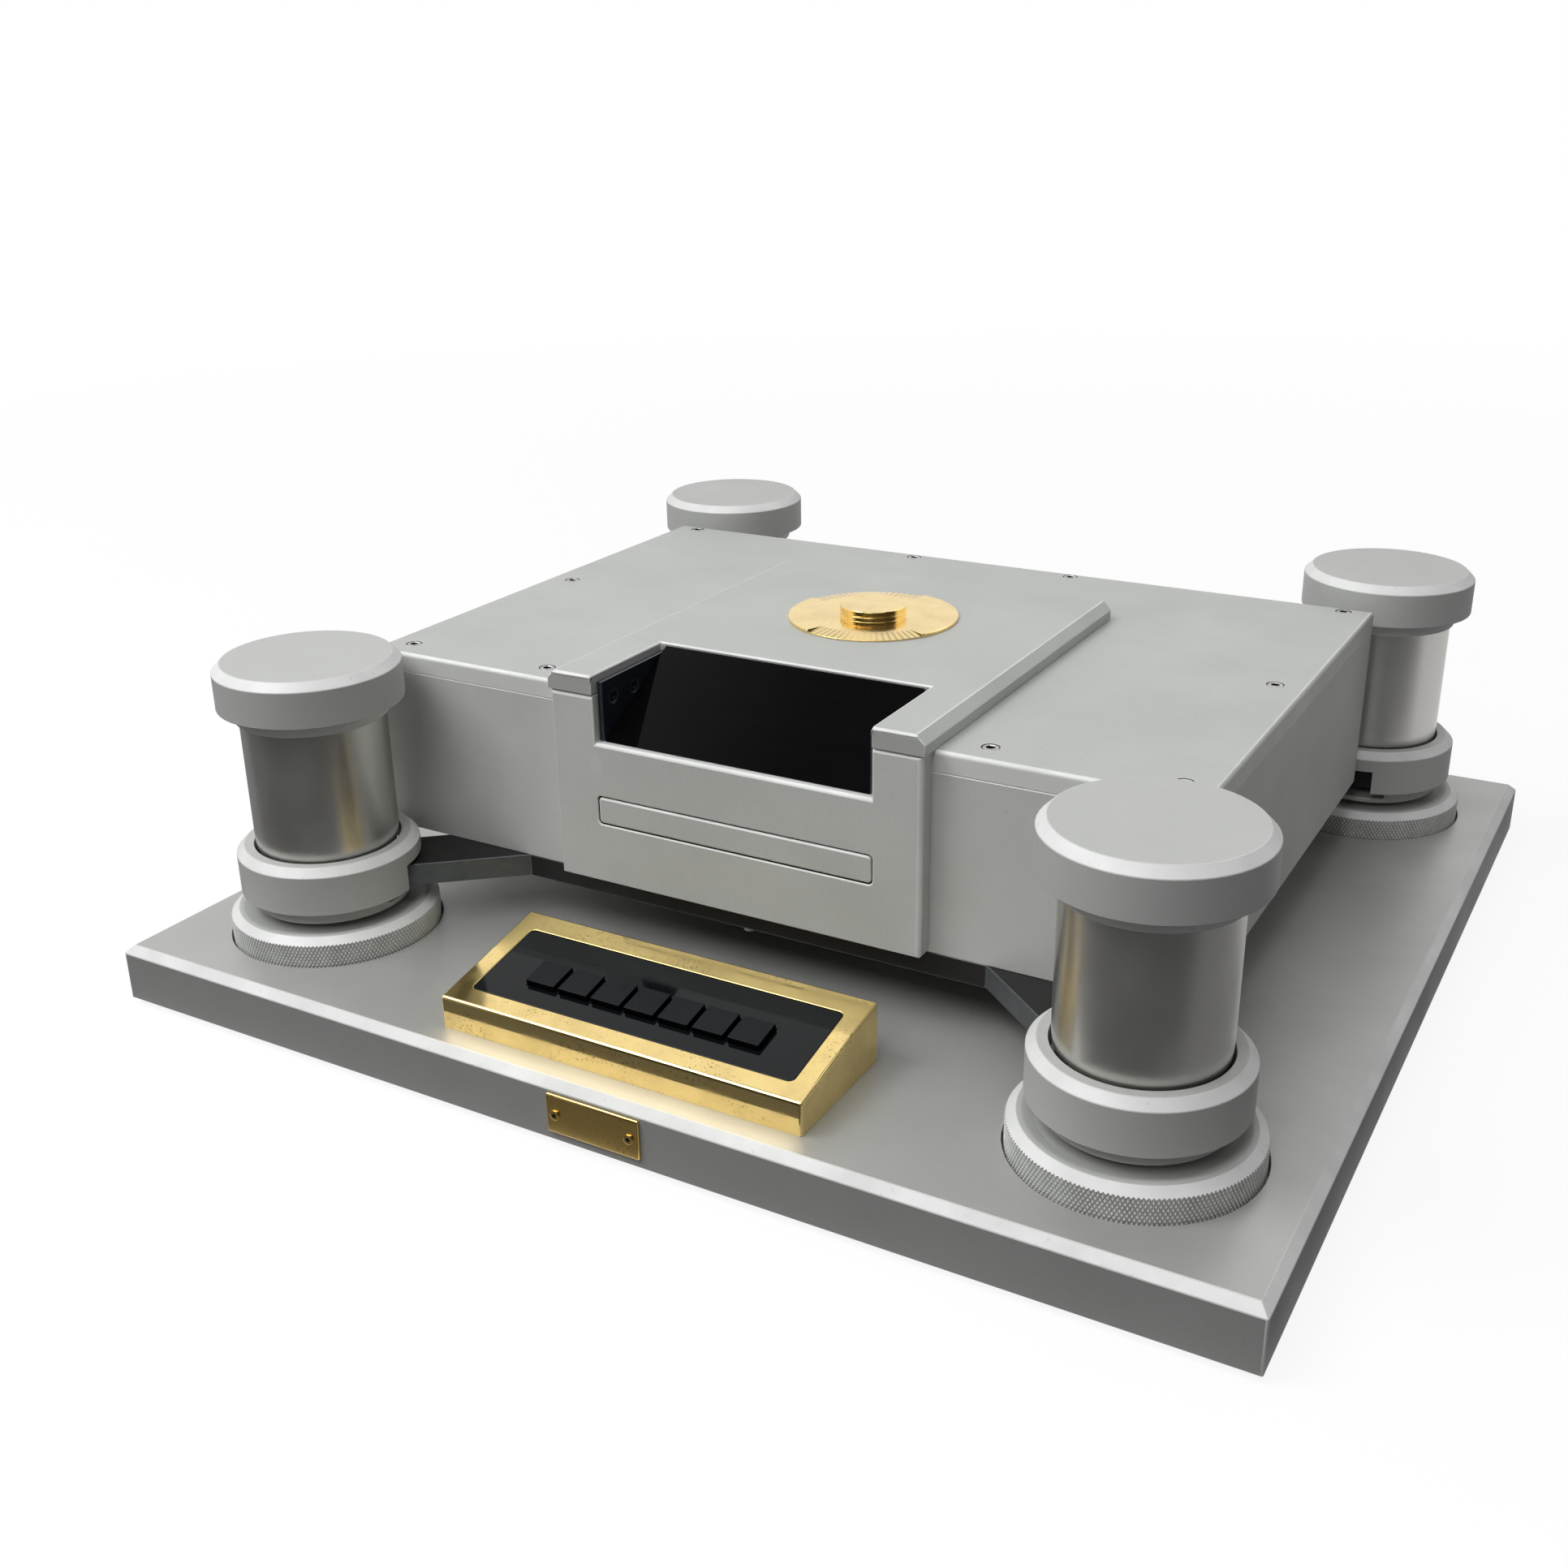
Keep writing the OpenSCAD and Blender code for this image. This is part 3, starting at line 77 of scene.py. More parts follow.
def add(tree, kind, values=None, **settings):
    """Adds a node. values maps an input's name or number to a number, a colour or an output."""
    node = tree.nodes.new(kind)
    for key, value in settings.items():
        setattr(node, key, value)
    for key, value in (values or {}).items():
        if isinstance(value, bpy.types.NodeSocket):
            tree.links.new(value, node.inputs[key])
        else:
            node.inputs[key].default_value = value
    return node


def surface(name, **sockets):
    """A new material with its Principled shader's own sockets set."""
    made = bpy.data.materials.new(name)
    made.use_nodes = True
    shader = made.node_tree.nodes["Principled BSDF"]
    for key, value in sockets.items():
        shader.inputs[key.replace("_", " ")].default_value = value
    return made, made.node_tree, shader


def painted(tree, shader, tone, rough):
    """Links a colour and a roughness to a shader."""
    tree.links.new(tone, shader.inputs["Base Color"])
    tree.links.new(rough, shader.inputs["Roughness"])


def bumped(tree, shader, height, strength, distance):
    made = add(tree, "ShaderNodeBump",
               {"Height": height, "Strength": strength, "Distance": distance})
    tree.links.new(made.outputs["Normal"], shader.inputs["Normal"])


def coordinates(tree, kind="Object"):
    return add(tree, "ShaderNodeTexCoord").outputs[kind]


def place(tree, scale=(1.0, 1.0, 1.0)):
    """Object coordinates, stretched."""
    return add(tree, "ShaderNodeMapping",
               {"Vector": coordinates(tree), "Scale": scale}).outputs[0]


def parts_of(tree, vector):
    """A vector's X, Y and Z."""
    return add(tree, "ShaderNodeSeparateXYZ", {"Vector": vector}).outputs


def length_of(tree, vector):
    return add(tree, "ShaderNodeVectorMath", {0: vector}, operation="LENGTH").outputs["Value"]


def noise(tree, where, scale, detail=3.0, rough=0.5):
    made = add(tree, "ShaderNodeTexNoise",
               {"Vector": where, "Scale": scale, "Detail": detail, "Roughness": rough})
    return made.outputs["Fac"]


def spread(tree, value, low, high, to_low=0.0, to_high=1.0):
    """Maps a range of a value to another range, clamped."""
    made = add(tree, "ShaderNodeMapRange", {
        "Value": value, "From Min": low, "From Max": high, "To Min": to_low, "To Max": to_high})
    return made.outputs["Result"]


def times(tree, a, b, operation="MULTIPLY"):
    return add(tree, "ShaderNodeMath", {0: a, 1: b}, operation=operation).outputs[0]


def size_of(tree, value):
    """A value without its sign."""
    return times(tree, value, 0.0, "ABSOLUTE")


def blended(tree, share, a, b):
    """A colour between a and b."""
    made = add(tree, "ShaderNodeMix", {"Factor": share}, data_type="RGBA")
    for socket, value in ((made.inputs[6], a), (made.inputs[7], b)):
        if isinstance(value, bpy.types.NodeSocket):
            tree.links.new(value, socket)
        else:
            socket.default_value = (*value, 1.0)
    return made.outputs[2]


def shade(colour, share):
    return tuple(share * c for c in colour)


# Materials

def blasted(name, colour, roughness=0.5, metallic=0.08, mottle=0.04):
    """Bead-blasted, anodised aluminium: fine grain, soft mottling, a few pale and dull marks."""
    made, tree, shader = surface(name, Metallic=metallic, Specular_IOR_Level=0.35)
    where = place(tree)
    clouds = spread(tree, noise(tree, where, 14.0, 4.0, 0.55), 0.32, 0.68)
    tone = blended(tree, clouds, shade(colour, 1 - mottle), shade(colour, 1 + mottle))
    specks = spread(tree, noise(tree, where, 260.0, 2.0), 0.70, 0.76)
    rare = spread(tree, noise(tree, where, 17.0, 2.0), 0.52, 0.62)
    tone = blended(tree, times(tree, times(tree, specks, rare), 0.35), tone, shade(colour, 0.72))
    streaks = noise(tree, place(tree, (1.0, 9.0, 1.0)), 70.0, 2.0)
    streaks = times(tree, spread(tree, streaks, 0.66, 0.74), rare)
    tone = blended(tree, times(tree, streaks, 0.22), tone, shade(colour, 1.22))
    sand = spread(tree, noise(tree, where, 1300.0, 3.0, 0.7), 0.30, 0.62, 0.16, 0.0)
    tone = blended(tree, sand, tone, shade(colour, 0.55))
    smears = noise(tree, where, 23.0, 5.0, 0.6)
    painted(tree, shader, tone,
            spread(tree, smears, 0.35, 0.7, roughness + 0.05, roughness - 0.06))
    bumped(tree, shader, noise(tree, where, 2600.0, 2.0, 0.7), 0.25, 0.00012)
    return made


def painted_highlight_metal(name, colour):
    """A cut edge painted near white as a painted highlight, with faint tool lines and nicks."""
    made, tree, shader = surface(name, Metallic=0.06, Specular_IOR_Level=0.3)
    where = place(tree)
    nicks = spread(tree, noise(tree, where, 420.0, 3.0), 0.66, 0.72)
    wear = spread(tree, noise(tree, where, 45.0, 3.0), 0.3, 0.7)
    tone = blended(tree, wear, shade(colour, 0.93), shade(colour, 1.05))
    tone = blended(tree, times(tree, nicks, 0.4), tone, shade(colour, 0.7))
    painted(tree, shader, tone, spread(tree, wear, 0.0, 1.0, 0.56, 0.45))
    bumped(tree, shader, noise(tree, where, 1900.0, 2.0), 0.12, 0.0001)
    return made


def brushed(name, colour, roughness, along=(1.0, 1.0, 0.03), metallic=1.0, anisotropic=0.5):
    """Metal with fine brush lines that run along the squeezed axis."""
    made, tree, shader = surface(name, Metallic=metallic, Anisotropic=anisotropic)
    lines = noise(tree, place(tree, along), 1500.0, 4.0, 0.65)
    wide = spread(tree, noise(tree, place(tree, along), 160.0, 2.0), 0.3, 0.7)
    clouds = noise(tree, place(tree), 30.0, 3.0)
    tone = blended(tree, wide, shade(colour, 0.86), shade(colour, 1.1))
    fine = times(tree, spread(tree, lines, 0.35, 0.65), 0.5)
    tone = blended(tree, fine, tone, shade(colour, 0.9))
    rough = times(tree, spread(tree, lines, 0.3, 0.7, -0.04, 0.05), roughness, "ADD")
    rough = times(tree, spread(tree, clouds, 0.35, 0.65, -0.02, 0.03), rough, "ADD")
    painted(tree, shader, tone, rough)
    bumped(tree, shader, lines, 0.1, 0.00006)
    return made


def satin_tube(name, colour):
    """Fine-ground tube: a clean satin that draws reflections out along the tube."""
    made, tree, shader = surface(name, Metallic=1.0, Anisotropic=0.65, Anisotropic_Rotation=0.25)
    tangent = add(tree, "ShaderNodeTangent", direction_type="RADIAL", axis="Z")
    tree.links.new(tangent.outputs[0], shader.inputs["Tangent"])
    fine = noise(tree, place(tree, (1.0, 1.0, 5.0)), 900.0, 3.0, 0.6)
    clouds = noise(tree, place(tree), 26.0, 3.0)
    tone = blended(tree, spread(tree, clouds, 0.35, 0.65), shade(colour, 0.95),
                   shade(colour, 1.04))
    lines = times(tree, spread(tree, fine, 0.4, 0.6), 0.4)
    tone = blended(tree, lines, tone, shade(colour, 0.93))
    painted(tree, shader, tone, spread(tree, clouds, 0.3, 0.7, 0.27, 0.32))
    bumped(tree, shader, fine, 0.05, 0.00005)
    return made


def gilded(name, colour, roughness=0.085, tarnish=0.7, ripple=0.012):
    """Polished gold plating: slight waviness, finger smears and small brown specks."""
    made, tree, shader = surface(name, Metallic=1.0)
    where = place(tree)
    dull = spread(tree, noise(tree, where, 55.0, 4.0, 0.6), 0.4, 0.72)
    tone = blended(tree, dull, shade(colour, 1.03), shade(colour, 0.88))
    specks = spread(tree, noise(tree, where, 760.0, 3.0, 0.6), 0.57, 0.66)
    zone = spread(tree, noise(tree, place(tree, (0.5, 1.0, 1.6)), 60.0, 3.0), 0.46, 0.62)
    brown = times(tree, times(tree, specks, zone), tarnish)
    tone = blended(tree, brown, tone, (0.20, 0.10, 0.025))
    painted(tree, shader, tone,
            spread(tree, dull, 0.0, 1.0, roughness - 0.03, roughness + 0.09))
    bumped(tree, shader, noise(tree, where, 120.0, 2.0), ripple, 0.0006)
    return made


def ribbed_gold(name, colour):
    """Gold where a cutter has left ribs that point at the middle of the medallion."""
    made, tree, shader = surface(name, Metallic=1.0)
    spot = parts_of(tree, coordinates(tree))
    ahead = times(tree, spot["Y"], MEDALLION_Y * MM, "SUBTRACT")
    turn = times(tree, ahead, spot["X"], "ARCTAN2")
    ribs = times(tree, times(tree, turn, math.tau / RIB_PITCH), 0.0, "SINE")
    ribs = spread(tree, ribs, -0.3, 0.9)
    off = [size_of(tree, times(tree, turn, middle, "SUBTRACT")) for middle in SCOOP_MIDDLES]
    fade = spread(tree, times(tree, off[0], off[1], "MINIMUM"), 0.08, 0.35, 0.1, 1.0)
    worn = spread(tree, noise(tree, place(tree), 85.0, 2.0), 0.3, 0.7, 0.6, 1.0)
    ribs = times(tree, ribs, times(tree, fade, worn))
    painted(tree, shader, blended(tree, ribs, colour, shade(colour, 0.48)),
            spread(tree, worn, 0.0, 1.0, 0.16, 0.26))
    bumped(tree, shader, ribs, 0.3, 0.0002)
    return made


def knurled(name, colour):
    """Blasted aluminium, painted dark in the valleys of the knurl as painted shade and light on
    its peaks as a painted highlight.
    """
    made, tree, shader = surface(name, Metallic=0.15, Roughness=0.42)
    away = length_of(tree, place(tree, (1.0, 1.0, 0.0)))
    valley_shade = spread(tree, away, (RING_R - KNURL_DEPTH) * MM, RING_R * MM, 1.0, 0.0)
    patches = spread(tree, noise(tree, place(tree), 120.0, 3.0), 0.3, 0.7, 0.75, 1.0)
    # Valleys darker as painted shade, peaks lighter as a painted highlight.
    tone = blended(tree, times(tree, valley_shade, patches), shade(colour, 1.8), shade(colour, 0.55))
    tree.links.new(tone, shader.inputs["Base Color"])
    bumped(tree, shader, noise(tree, place(tree), 2600.0, 2.0, 0.7), 0.2, 0.0001)
    return made


def gloss(name, colour, specular=0.25):
    """Black glass or acrylic: nearly a mirror, with a little dust and faint wiping smears."""
    made, tree, shader = surface(name, Specular_IOR_Level=specular, IOR=1.5)
    where = place(tree)
    smear = spread(tree, noise(tree, place(tree, (1.0, 4.0, 1.0)), 40.0, 4.0), 0.45, 0.75)
    motes = spread(tree, noise(tree, where, 1100.0, 2.0), 0.74, 0.78)
    tone = blended(tree, times(tree, smear, 0.25), colour, shade(colour, 2.2))
    tone = blended(tree, times(tree, motes, 0.06), tone, (0.35, 0.36, 0.36))
    painted(tree, shader, tone, spread(tree, smear, 0.0, 1.0, 0.04, 0.09))
    return made


def moulded(name, colour, roughness=0.5, grain=900.0, depth=0.2, specular=0.4):
    """Plastic, rubber or painted metal with a fine moulded grain."""
    made, tree, shader = surface(name, Specular_IOR_Level=specular)
    where = place(tree)
    clouds = spread(tree, noise(tree, where, 60.0, 4.0), 0.3, 0.7)
    painted(tree, shader, blended(tree, clouds, shade(colour, 0.9), shade(colour, 1.12)),
            spread(tree, clouds, 0.0, 1.0, roughness - 0.05, roughness + 0.05))
    bumped(tree, shader, noise(tree, where, grain, 3.0), depth, 0.00015)
    return made


def board_lacquer(name, colour):
    """Green solder mask with copper tracks showing through as paler lines."""
    made, tree, shader = surface(name, Specular_IOR_Level=0.5)
    bricks = add(tree, "ShaderNodeTexBrick", {
        "Vector": place(tree), "Scale": 60.0, "Mortar Size": 0.03,
        "Color1": (*shade(colour, 0.9), 1.0), "Color2": (*shade(colour, 1.1), 1.0),
        "Mortar": (*shade(colour, 1.9), 1.0)})
    grime = spread(tree, noise(tree, place(tree), 70.0, 4.0), 0.3, 0.7)
    tone = blended(tree, times(tree, grime, 0.3), bricks.outputs["Color"], shade(colour, 0.6))
    painted(tree, shader, tone, spread(tree, grime, 0.0, 1.0, 0.3, 0.45))
    return made


# Looks by name: maker, colour and settings. The first ones are the slots of the CAD model.
RECIPES = {
    "plinth_aluminium": (blasted, (0.50, 0.505, 0.49), {"roughness": 0.42, "metallic": 0.45}),
    "turned_aluminium": (blasted, (0.52, 0.53, 0.515), {"mottle": 0.025}),
    "chassis_aluminium": (blasted, (0.52, 0.535, 0.51), {"roughness": 0.45, "metallic": 0.25}),
    "brushed_tube": (satin_tube, (0.67, 0.66, 0.63), {}),
    "gold": (gilded, (1.0, 0.76, 0.32), {}),
    "black_glass": (gloss, (0.003, 0.004, 0.005), {}),
    "black_key": (moulded, (0.011, 0.0135, 0.016),
                  {"roughness": 0.32, "grain": 2200.0, "depth": 0.03, "specular": 0.12}),
    "black_hood": (moulded, (0.010, 0.012, 0.018),
                   {"roughness": 0.33, "grain": 1500.0, "depth": 0.08}),
    "dark_steel": (brushed, (0.13, 0.145, 0.15),
                   {"roughness": 0.38, "along": (0.04, 1.0, 1.0), "metallic": 0.6,
                    "anisotropic": 0.2}),
    "bright_steel": (brushed, (0.50, 0.50, 0.50),
                     {"roughness": 0.28, "along": (1.0, 1.0, 6.0), "anisotropic": 0.2}),
    "fastener_steel": (brushed, (0.60, 0.60, 0.59),
                       {"roughness": 0.26, "along": (1.0, 1.0, 4.0), "anisotropic": 0.0}),
    "rubber": (moulded, (0.02, 0.02, 0.02), {"roughness": 0.75}),
    "black_plastic": (moulded, (0.02, 0.021, 0.022), {"roughness": 0.48}),
    "white_plastic": (moulded, (0.70, 0.69, 0.64), {"roughness": 0.42}),
    "board_green": (board_lacquer, (0.03, 0.14, 0.06), {}),
    "copper_winding": (brushed, (0.72, 0.36, 0.18),
                       {"roughness": 0.34, "along": (1.0, 1.0, 0.1)}),
    "socket_metal": (brushed, (0.72, 0.60, 0.36),
                     {"roughness": 0.22, "along": (1.0, 4.0, 1.0), "anisotropic": 0.0}),
    # The plinth's side faces: its aluminium darker and duller, as painted shade.
    "plinth_side": (blasted, (0.335, 0.34, 0.33), {"roughness": 0.55, "metallic": 0.05}),
    # The tub, fascia and tray door: a lighter copy of the chassis aluminium, as painted light.
    "tub_face": (blasted, (0.60, 0.615, 0.59), {"mottle": 0.055}),
    # The lid's front face: a lighter copy of the chassis aluminium, as painted light.
    "lid_face": (blasted, (0.74, 0.755, 0.73), {}),
    # Chamfers, roundings, the caps' necks and many broken edges: painted near white as a painted
    # highlight.
    "bright_edge": (painted_highlight_metal, (0.79, 0.80, 0.79), {}),
    # Broken edges of the plinth, columns and rear panel: painted lighter as a painted highlight.
    "worn_edge": (painted_highlight_metal, (0.68, 0.69, 0.67), {}),
    # The knurl: darker in its valleys as painted shade, lighter on its peaks as a painted
    # highlight.
    "knurled_rim": (knurled, (0.53, 0.54, 0.525), {}),
    # The cheeks' rounded edges: a lighter, bluish grey as a painted highlight.
    "hood_edge": (moulded, (0.035, 0.045, 0.06),
                  {"roughness": 0.25, "grain": 1500.0, "depth": 0.04, "specular": 0.6}),
    "hood_glass": (gloss, (0.002, 0.002, 0.002), {"specular": 0.14}),
    # Near black for the subframe under the chassis: painted shade.
    "black_paint": (moulded, (0.012, 0.012, 0.012),
                    {"roughness": 0.45, "grain": 1400.0, "depth": 0.1}),
    # Near black for recesses, such as screw holes and sockets, the tray slot and the scoops' end
    # walls: painted shade.
    "dark_gap": (moulded, (0.015, 0.015, 0.015), {"roughness": 0.7}),
    # Sides of the keys: near black as painted shade.
    "key_side": (moulded, (0.002, 0.002, 0.002), {"roughness": 0.4, "specular": 0.04}),
    "black_screw": (brushed, (0.03, 0.03, 0.035),
                    {"roughness": 0.32, "anisotropic": 0.0, "metallic": 0.7}),
    "aged_gold": (gilded, (0.80, 0.56, 0.19), {"roughness": 0.22, "ripple": 0.04}),
    "satin_gold": (gilded, (0.95, 0.715, 0.305),
                   {"roughness": 0.15, "tarnish": 0.25, "ripple": 0.006}),
    "ribbed_gold": (ribbed_gold, (0.93, 0.70, 0.30), {}),
}
LOOKS = {name: maker(name, colour, **settings)
         for name, (maker, colour, settings) in RECIPES.items()}

for name, piece in frame["nodes"].items():
    piece.data.materials.clear()
    piece.data.materials.append(LOOKS[SLOT_OF[name]])


# Meshes

WELD = 0.000004         # metres between points that are joined
FLAT_TURN = 0.8         # degrees between faces that are one flat face
EDGE_TURN = 30.0        # degrees between faces whose edge is broken
SHARP = 32.0            # degrees between faces that aren't shaded as one
SHARP_SOFTENED = 34.0   # the same on a piece with broken edges


def finished(name, bm, node, looks, sharp=SHARP, at=(0.0, 0.0)):
    """Makes an object of a mesh, shaded smooth between its sharp edges.

    It stands for a CAD node and rides on that node's body. looks are names, and at is the
    place of the object's own origin, for a mesh made round its own axis.
    """
    bm.normal_update()
    mesh = bpy.data.meshes.new(name)
    bm.to_mesh(mesh)
    bm.free()
    for look in looks:
        mesh.materials.append(LOOKS[look])
    mesh.polygons.foreach_set("use_smooth", [True] * len(mesh.polygons))
    piece = bpy.data.objects.new(name, mesh)
    piece.location = (at[0] * MM, at[1] * MM, 0.0)
    SCENE.collection.objects.link(piece)
    mesh.set_sharp_from_angle(angle=math.radians(sharp))
    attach(piece, BODY_OF[node])
    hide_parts(node)
    return piece


def weighted(piece):
    """Shades large flat faces flat, with the fine edges turning between them."""
    step = piece.modifiers.new("weighted_normals", "WEIGHTED_NORMAL")
    step.keep_sharp = True
    step.weight = 80


def softened(node, width, look=None, look_of=None, edge_look=None, segments=2, moved=None):
    """A node's shape with its edges broken.

    width is millimetres, or a function of an edge's middle, in millimetres, and its direction.
    look is the name of the usual look, and its slot's where none is given. look_of gives a
    face's look from its normal and its middle, or None for the usual one. edge_look is the
    broken edges' look. moved gives a point's new place, in millimetres.
    """
    source = frame["nodes"][node]
    bm = bmesh.new()
    bm.from_mesh(source.data)
    bm.transform(source.matrix_world)
    bmesh.ops.remove_doubles(bm, verts=bm.verts, dist=WELD)
    bmesh.ops.dissolve_limit(bm, angle_limit=math.radians(FLAT_TURN), verts=bm.verts,
                             edges=bm.edges)
    if moved:
        for vert in bm.verts:
            vert.co = Vector(moved(*(vert.co / MM))) * MM
    bm.normal_update()
    layer = bm.edges.layers.float.new("bevel_weight_edge")
    widths = {}
    for edge in bm.edges:
        if edge.is_manifold and edge.calc_face_angle() > math.radians(EDGE_TURN):
            middle = (edge.verts[0].co + edge.verts[1].co) / 2 / MM
            along = (edge.verts[1].co - edge.verts[0].co).normalized()
            widths[edge] = width(middle, along) if callable(width) else width
    widest = max(widths.values())
    for edge, size in widths.items():
        edge[layer] = size / widest
    looks = [look or SLOT_OF[node]]

    def number(wanted):
        if wanted not in looks:
            looks.append(wanted)
        return looks.index(wanted)

    for face in bm.faces:
        wanted = look_of(face.normal, face.calc_center_median() / MM) if look_of else None
        face.material_index = number(wanted or looks[0])
    edge_number = number(edge_look) if edge_look else -1
    piece = finished(node + "_detail", bm, node, looks, SHARP_SOFTENED)
    step = piece.modifiers.new("fine_edges", "BEVEL")
    step.limit_method = "WEIGHT"
    step.width = widest * MM
    step.segments = segments
    step.use_clamp_overlap = False
    step.material = edge_number
    weighted(piece)


def row_of(count, spot):
    """A closed loop of points. spot gives a point's radius and height from its number and turn."""
    row = []
    for c in range(count):
        turn = math.tau * c / count
        r, z = spot(c, turn)
        row.append((r * math.cos(turn) * MM, r * math.sin(turn) * MM, z * MM))
    return row


def circle_row(r, z, count):
    return row_of(count, lambda c, turn: (r, z))


def hexagon_row(r, z, count):
    """A hexagon's outline, with as many points as the circles that it joins."""
    half = math.tau / 12
    return row_of(count, lambda c, turn: (
        r * math.cos(half) / math.cos(turn % (2 * half) - half), z))


def stacked(rows, ring=False, look_of=None, split_rows=0):
    """A closed mesh of rows of points, each a closed loop.

    A ring's last row joins its first, and anything else gets a face on both ends. look_of
    gives the number of the look of the faces below row j. The faces below the first
    split_rows rows are cut in two, each along the other diagonal than its neighbours.
    """
    bm = bmesh.new()
    grid = [[bm.verts.new(point) for point in row] for row in rows]
    count = len(rows[0])
    look_of = look_of or (lambda j: 0)
    for j in range(len(rows) if ring else len(rows) - 1):
        upper, lower = grid[j], grid[(j + 1) % len(rows)]
        for c in range(count):
            n = (c + 1) % count
            corners = (upper[c], upper[n], lower[n], lower[c])
            if j < split_rows:
                halves = ((0, 1, 2), (0, 2, 3)) if (c + j) % 2 else ((0, 1, 3), (1, 2, 3))
                made = [bm.faces.new([corners[k] for k in half]) for half in halves]
            else:
                made = [bm.faces.new(corners)]
            for face in made:
                face.material_index = look_of(j)
    if not ring:
        bm.faces.new(grid[0]).material_index = look_of(0)
        bm.faces.new(grid[-1]).material_index = look_of(len(rows) - 2)
    bmesh.ops.recalc_face_normals(bm, faces=bm.faces)
    return bm


def column_at(corner):
    side_x, side_y = CORNERS[corner]
    return side_x * COLUMN_X, side_y * COLUMN_Y


# Tests on a direction or a face. Chamfers are cut, and they and roundings are painted near white
# as a painted highlight.

AXIAL = 0.9                 # cosine above which a direction counts as one along an axis
ACROSS = 0.5                # and below which it counts as one across it
CHAMFER_RISE = (0.5, 0.9)   # upward part of a chamfer's normal
ROUNDING_RISE = (0.25, 0.96)
CLOSE = 0.2                 # a point this near to a place in the CAD model lies there
FINE = 0.35                 # usual width of a broken edge


def upright(direction):
    return abs(direction.z) > AXIAL


def level(direction):
    return abs(direction.z) < ACROSS


def between(value, limits):
    return limits[0] < value < limits[1]


def chamfer_look(normal, middle):
    return "bright_edge" if between(normal.z, CHAMFER_RISE) else None


def rounding_look(normal, middle):
    rounded = between(normal.z, ROUNDING_RISE) and abs(normal.x) < ACROSS
    return "bright_edge" if rounded else None


# Plinth

PLINTH_SIDE_X = 299.0   # outside these lie the plinth's side faces
PLINTH_SIDE_Y = 284.0
PLINTH_CORNER = 1.2


def plinth_look(normal, middle):
    outer = abs(middle.x) > PLINTH_SIDE_X or abs(middle.y) > PLINTH_SIDE_Y
    # Side faces get the darker look, which is painted shade.
    if level(normal) and outer:
        return "plinth_side"
    return chamfer_look(normal, middle)


def plinth_edge(middle, along):
    return PLINTH_CORNER if upright(along) and abs(middle.x) > PLINTH_SIDE_X else FINE


# The plinth's broken edges are painted lighter as a painted highlight.
softened("plinth", plinth_edge, look_of=plinth_look, edge_look="worn_edge")


# Columns: collars, feet and caps

TURNED_EDGE = 0.3       # width of the broken edges on turned pieces
NECK_CAD = 158.0        # lower end of a cap's neck in the CAD model
NECK_LOW = 152.2        # and here
NECK_FACE_Z = 159.0     # below it lie the necks' side faces


def neck_moved(x, y, z):
    """The neck under a cap comes further down the tube than in the CAD model."""
    return (x, y, NECK_LOW if abs(z - NECK_CAD) < CLOSE else z)


def cap_look(normal, middle):
    # A neck's side face is painted near white as a painted highlight.
    if level(normal) and middle.z < NECK_FACE_Z:
        return "bright_edge"
    return chamfer_look(normal, middle)


for corner in CORNERS:
    softened("collar_" + corner, TURNED_EDGE, look_of=chamfer_look, edge_look="worn_edge")
    softened("column_foot_" + corner, TURNED_EDGE, edge_look="worn_edge")
softened("caps", TURNED_EDGE, look_of=cap_look, edge_look="worn_edge", moved=neck_moved)


# Chassis: tub, lid and bridge

TUB_SEAM_Z = 160.0      # above it and in front of TUB_FRONT_Y lie the edges at the lid's seam
TUB_FRONT_Y = -154.0
TUB_CORNER_X = 226.0
TUB_CORNER = 1.4
TUB_SEAM_EDGE = 0.6
LID_TOP = 171.1
LID_HOLE_R = 5.3        # reach of a screw hole's walls and rim
LID_HOLE_EDGE = 0.1
LID_SCREWS = [(side * x, y) for side in (-1, 1)
              for x, y in ((211.7, -139.3), (211.7, 3.4), (211.7, 144.0), (123.0, -139.3),
                           (51.6, 144.0))]
BRIDGE_BACK = 0.8       # how far the bridge's front end stands back from the CAD model's
BRIDGE_FRONT_Y = -166.0
BRIDGE_EDGE = 0.45
MOUTH_EDGE = 0.9        # round the hood's mouth
HOOD_MOUTH = Vector((78.0, -100.0, 180.0))      # reach of the bridge's edges round the hood


def tub_edge(middle, along):
    """Round corners, and a wider edge under the lid, where the seam catches the light."""
    if middle.z > TUB_SEAM_Z and middle.y < TUB_FRONT_Y:
        return TUB_SEAM_EDGE
    return TUB_CORNER if upright(along) and abs(middle.x) > TUB_CORNER_X else FINE


def by_lid_screw(middle):
    return min(math.hypot(middle.x - x, middle.y - y) for x, y in LID_SCREWS) < LID_HOLE_R


def lid_edge(middle, along):
    """The screw holes keep a crisp rim."""
    return LID_HOLE_EDGE if by_lid_screw(middle) else FINE


def lid_look(normal, middle):
    # Screw holes' walls are painted near black as shade, the front face lighter as painted light,
    # and the rounding near white as a painted highlight.
    if by_lid_screw(middle) and not upright(normal):
        return "dark_gap"
    return "lid_face" if normal.y < -AXIAL else rounding_look(normal, middle)


def bridge_moved(x, y, z):
    """The front end stands back, so that light reaches the fascia's upper edge."""
    return (x, y + BRIDGE_BACK if y < BRIDGE_FRONT_Y else y, z)


def bridge_edge(middle, along):
    mouth = (abs(middle.x) < HOOD_MOUTH.x and middle.y < HOOD_MOUTH.y
             and middle.z > HOOD_MOUTH.z)
    return MOUTH_EDGE if mouth else BRIDGE_EDGE


